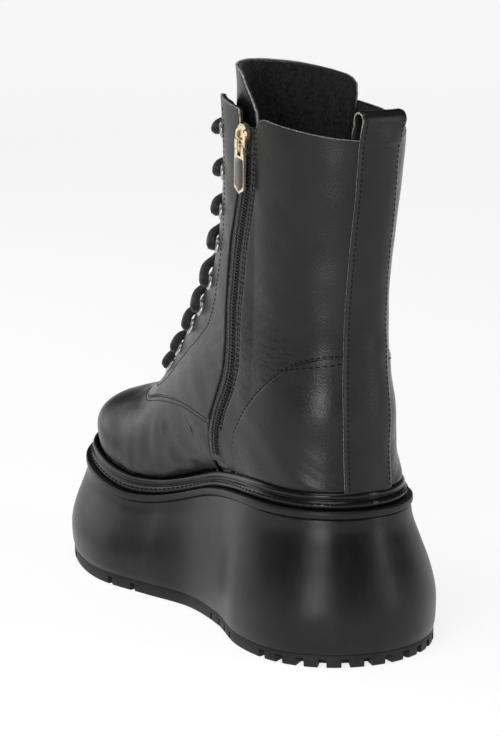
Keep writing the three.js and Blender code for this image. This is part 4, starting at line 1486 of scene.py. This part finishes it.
def lace_side(hand):
    """Route of one half of the lace, from under the lowest pair up to its last eyelet."""
    route = []
    for pair in range(PAIRS):
        point, out = eyelet_at(pair, hand)
        row, side = EYELETS.rows[pair]
        last = pair == PAIRS - 1
        next_row, next_side = (row + 1, side) if last else EYELETS.rows[pair + 1]
        step = next_row - row
        route += [
            over(row - 0.15, hand * (side - 0.05), -4.2),
            *(point + out * height for height in (-3.2, 0.6, 3.0)),
            over(row + 0.02 * step, hand * (side - 0.055), 3.4),
            over(row + 0.08 * step, hand * (side - 0.11), 0.6),
        ]
        if last:  # its end is tucked in behind the facing
            return route + [over(row + 0.1, hand * (side - 0.15), -2.6)]
        lift = UPPER_PASS if hand > 0 else LOWER_PASS
        route += [
            over(row + 0.28 * step, hand * 0.3 * side, lift - 0.6),
            over(row + 0.5 * step, 0, lift),
            over(row + 0.72 * step, -hand * 0.4 * side, lift - 0.8),
            over(row + 0.9 * step, -hand * (next_side - 0.1), -3.4),
        ]
        hand = -hand


def lace():
    """The whole lace: up one side, and up the other, from a bridge under the lowest pair."""
    inner, outer = lace_side(1), lace_side(-1)
    low = EYELETS.rows[0, 0] - 0.35
    bridge = [over(low, side, -5) for side in (-0.1, 0, 0.1)]
    route = outer[::-1] + bridge + inner
    line = smooth_path(route, 0.75)
    steps = run_lengths(line)
    sides = 16
    angles = full_turn(sides)
    braid = BRAID * np.abs(np.sin(2 * angles[None, :] + steps[:, None] * 1.6))
    braid += BRAID * np.abs(np.sin(2 * angles[None, :] - steps[:, None] * 1.6))
    radius = LACE - 0.16 + braid
    rings = np.stack([np.cos(angles), np.sin(angles)], -1)[None] * radius[..., None]
    points, faces = sweep(line, rings)
    piece = new_piece("lace", points, facing_out(points, faces), [CORD], "lace_cord", replaces=("lace",))
    u = np.broadcast_to(angles[None] * LACE, (len(line), sides))
    v = np.broadcast_to(steps[:, None], (len(line), sides))
    uv_map(piece, np.stack([u.ravel(), v.ravel()], -1))
    print(f"lace {steps[-1]:.0f} mm")


lace()


# --- sole ------------------------------------------------------------------------------------------

AROUND_SOLE = 720
PLACES = np.arange(AROUND_SOLE) / AROUND_SOLE * AROUND


def rim(reach, flare, height):
    """A ring of points round the sole at a reach, with its height as a function of x."""
    point = outline(PLACES, reach, flare)
    return np.concatenate([point, height(point[:, 0])[:, None]], 1)


def lip_under(x):
    return feather(x) - LIP_DROP


def lip_top(x):
    return feather(x) - WELT_DROP


def hoop(name, rings, material, slot, replaces):
    """A closed moulding: rings round the sole, the last joined to the first."""
    points = np.concatenate(rings)
    faces = (quads(len(rings) + 1, AROUND_SOLE, closed=True) % len(points)).tolist()
    new_piece(name, points, facing_forward(points, faces), [material], slot, replaces=replaces)


def platform():
    """The platform's wall from the tread up to the lip, with its swell and flare."""
    places = np.linspace(0, len(PLATFORM_WALL.rows) - 1, 46)
    rings = []
    for place in places:
        height, spread, swell = (float(PLATFORM_WALL.at(k, place)) for k in ("height", "spread", "swell"))

        def level(x, share=height):
            foot = tread(x) + OUTSOLE + 0.1
            return foot + (lip_under(x) - 0.1 - foot) * share

        rings.append(rim(WALL_REACH * (1 - spread) + SWELL * swell, spread, level))
    rings.append(rim(SOLE_INSIDE, 0, lambda x: lip_under(x) - 0.1))
    rings.append(rim(SOLE_INSIDE, 0, lambda x: tread(x) + OUTSOLE + 0.1))
    hoop("platform", rings, PLATFORM_RUBBER, "platform_rubber", ("platform",))


def midsole():
    """The lip that stands out over the platform: levels of (reach, on its top or not, rise)."""
    levels = [(SOLE_INSIDE, 0, 0), (6.0, 0, 0.02), (6.55, 0, 0.15), (6.85, 0, 0.5), (6.95, 0, 1.0),
              (6.95, 1, -1.1), (6.85, 1, -0.55), (6.5, 1, -0.2), (5.9, 1, -0.08),
              (SOLE_INSIDE, 1, -0.1)]
    rings = [rim(reach, 0, lambda x, t=top, r=rise: (lip_top(x) if t else lip_under(x)) + r)
             for reach, top, rise in levels]
    hoop("midsole", rings, LIP_RUBBER, "platform_rubber", ("midsole",))


# The welt's section: reach out from the feather line and rise above the lip.
WELT = [(1.0, 0.1), (3.2, 0.1), (3.9, 0.5), (4.3, 1.4), (4.35, 2.3), (4.0, 3.1), (3.5, 3.7),
        (2.75, 4.1), (2.45, 4.35), (2.6, 4.7), (3.05, 5.2), (3.15, 6.0), (2.95, 6.8), (2.4, 7.4),
        (1.7, 7.75), (1.0, 7.8)]


def welt():
    """The welt and the stitches laid in its groove."""
    rings = [rim(reach, 0, lambda x, r=rise: lip_top(x) + r) for reach, rise in WELT]
    hoop("welt", rings, WELT_RUBBER, "welt_rubber", ("welt",))
    beads = []
    fine = outline(np.linspace(0, AROUND, 4000), 4.25, 0)
    steps = run_lengths(fine)
    for at in np.arange(0, steps[-1] - 3, 3.6):
        a, b = (values_at(s, steps, fine) for s in (at, at + 2.7))
        ends = [np.array([*p, lip_top(p[0]) + 2.75]) for p in (a, b)]
        out = unit(np.array([-(b - a)[1], (b - a)[0], 0.9]))
        beads.append(bead(ends[0], ends[1], out, 0.42))
    new_piece("welt_stitching", *join(beads), [THREAD], "welt_rubber")


# Notches round the tread: first and last place, how many, width of each.
NOTCHES = [(-2.5, 2.5, 13, 4.5), (3.15, 4.35, 4, 2.4), (6.05, 7.15, 2, 4), (8.25, 13.75, 11, 4),
           (14.85, 15.95, 2, 4), (17.65, 18.85, 4, 2.4)]
NOTCH_HEIGHT = 4.2
NOTCH_DEPTH = 8
NOTCH_BELOW = 3  # how far the cutting blocks reach below the tread
NOTCH_TAPER = 0.86
BLOCK_FACES = [[3, 2, 1, 0], [4, 5, 6, 7], [0, 1, 5, 4], [1, 2, 6, 5], [2, 3, 7, 6], [3, 0, 4, 7]]


def notch_blocks():
    """Blocks, tapered to their top, that cut the notches."""
    blocks = []
    for start, end, count, width in NOTCHES:
        for i in range(count):
            place = start + (i + 0.5) / count * (end - start)
            edge, within = outline(place, 0, 1), outline(place, -NOTCH_DEPTH, 1)
            out = unit(edge - within)
            side = np.array([-out[1], out[0]])
            floor = float(tread(edge[0]))
            corners = []
            for height, share in ((-NOTCH_BELOW, 1), (NOTCH_HEIGHT, NOTCH_TAPER)):
                for a, b in ((-1, -1), (1, -1), (1, 1), (-1, 1)):
                    spot = edge + out * NOTCH_DEPTH * a + side * width / 2 * b * share
                    corners.append(np.append(spot, floor + height))
            blocks.append((np.array(corners), BLOCK_FACES))
    return join(blocks)


def outsole():
    """The tread layer, with notches cut into its edge."""
    levels = [(-0.9, 0), (-0.3, 0.25), (0, 0.9), (0, OUTSOLE - 0.5), (-0.35, OUTSOLE)]
    rings = [rim(reach, 1, lambda x, r=rise: tread(x) + r) for reach, rise in levels]
    points = np.concatenate(rings)
    faces = quads(len(rings), AROUND_SOLE, closed=True).tolist()
    last = (len(rings) - 1) * AROUND_SOLE
    for i in range(AROUND_SOLE // 2):
        j, k = (AROUND_SOLE - i) % AROUND_SOLE, AROUND_SOLE - i - 1
        low = [i, i + 1, k, j]
        ladder = [v for n, v in enumerate(low) if v != low[n - 1]]
        if len(set(ladder)) < 3:
            continue
        faces.append(ladder[::-1])
        faces.append([last + v for v in ladder])
    piece = new_piece("outsole", points, facing_forward(points, faces), [TREAD_RUBBER], "outsole_rubber",
                      replaces=("outsole",))
    cutter = add_mesh("notches", *notch_blocks())
    cut = piece.modifiers.new("notches", "BOOLEAN")
    cut.operation, cut.solver, cut.object = "DIFFERENCE", "MANIFOLD", cutter
    bpy.context.view_layer.update()
    result = bpy.data.meshes.new_from_object(piece.evaluated_get(bpy.context.evaluated_depsgraph_get()))
    piece.modifiers.clear()
    piece.data = result
    bpy.data.objects.remove(cutter)
    result.polygons.foreach_set("use_smooth", np.zeros(len(result.polygons), bool))
    result.set_sharp_from_angle(angle=math.radians(35))
    result.polygons.foreach_set("use_smooth", np.ones(len(result.polygons), bool))


platform()
midsole()
welt()
outsole()


# --- studio ----------------------------------------------------------------------------------------


PAPER = 0.9  # brightness of the far floor and of the horizon
FLOOR_RINGS = (0.01, 0.5, 1, 2, 4, 8, 16, 30)  # radii, in metres


def studio():
    """A wide pale floor with some glow of its own, that meets an equally pale horizon."""
    paper = Finish("studio_paper", 0.9, specular=0.1)
    paper.colour(grey(0.3))
    away = paper.vector("LENGTH", paper.coords.outputs["Object"]).outputs["Value"]
    paper.put(paper.shader.inputs["Emission Color"], (1, 1, 1, 1))
    paper.put(paper.shader.inputs["Emission Strength"], paper.span(away, 0.4, 3.5, 0.83, PAPER))
    paper.bump((paper.noise(900, 2), 0.0002, 0.05))
    turns = full_turn(64)
    grid = [[(r * math.cos(a), r * math.sin(a), 0) for a in turns] for r in FLOOR_RINGS]
    mesh = bpy.data.meshes.new("studio_floor")
    faces = [list(range(64))] + quads(len(FLOOR_RINGS), 64, closed=True)[:, ::-1].tolist()
    mesh.from_pydata(np.array(grid).reshape(-1, 3).tolist(), [], faces)
    mesh.materials.append(paper.material)
    add_object("studio_floor", mesh)
    world = bpy.data.worlds.new("studio")
    world.use_nodes = True
    tree = world.node_tree
    direction = tree.nodes.new("ShaderNodeTexCoord").outputs["Generated"]
    height = tree.nodes.new("ShaderNodeSeparateXYZ")
    tree.links.new(direction, height.inputs[0])
    glow = tree.nodes.new("ShaderNodeMapRange")
    for name, value in (("From Min", 0.05), ("From Max", 0.2), ("To Min", PAPER), ("To Max", 0.04)):
        glow.inputs[name].default_value = value
    tree.links.new(height.outputs["Z"], glow.inputs["Value"])
    tree.links.new(glow.outputs[0], tree.nodes["Background"].inputs["Strength"])
    tree.nodes["Background"].inputs["Color"].default_value = (1, 1, 1, 1)
    bpy.context.scene.world = world


def lamp(name, place, aim, size, watts):
    """A soft rectangular lamp, its place, aim and size in metres."""
    light = bpy.data.lights.new(name, "AREA")
    light.shape = "RECTANGLE"
    light.size, light.size_y = size
    light.energy = watts
    piece = add_object(name, light)
    piece.location = place
    direction = Vector(aim) - Vector(place)
    piece.rotation_euler = direction.to_track_quat("-Z", "Y").to_euler()


AZIMUTH, ELEVATION, ROLL = math.radians(-119.4), math.radians(11.3), math.radians(-0.5)
DISTANCE = 1245  # from the camera to its target, both in the last's frame
TARGET = np.array([104.4, 4.1, 119.8])
LENS = 122.8
SENSOR = 36


def camera():
    """The main camera, where the photo's own stood."""
    back = np.array([math.sin(AZIMUTH) * math.cos(ELEVATION), -math.cos(AZIMUTH) * math.cos(ELEVATION),
                     math.sin(ELEVATION)])
    right = unit(np.cross(-back, [0, 0, 1.0]))
    up = np.cross(right, -back)
    right, up = (right * math.cos(ROLL) + up * math.sin(ROLL), up * math.cos(ROLL) - right * math.sin(ROLL))
    place = (TARGET + back * DISTANCE - ORIGIN) * MM
    data = bpy.data.cameras.new("main_camera")
    data.lens, data.sensor_fit = LENS, "VERTICAL"
    data.sensor_height = SENSOR
    piece = add_object("main_camera", data)
    pose = Matrix((right, up, back)).transposed().to_4x4()
    pose.translation = Vector(place)
    piece.matrix_world = pose
    bpy.context.scene.camera = piece


studio()
camera()
lamp("key_lamp", (-0.95, 1.15, 0.35), (-0.1, 0.03, 0.1), (0.55, 0.9), 10)
lamp("toe_lamp", (1.2, 0.6, 0.6), (0.05, 0, 0.08), (0.9, 0.9), 4.5)
lamp("back_lamp", (-1.2, -0.8, 0.5), (0, 0, 0.12), (0.2, 0.9), 3.5)
lamp("top_lamp", (-0.3, 0.4, 1.7), (0, 0, 0.1), (1.0, 1.0), 10)
bpy.context.scene.view_settings.view_transform = "Standard"
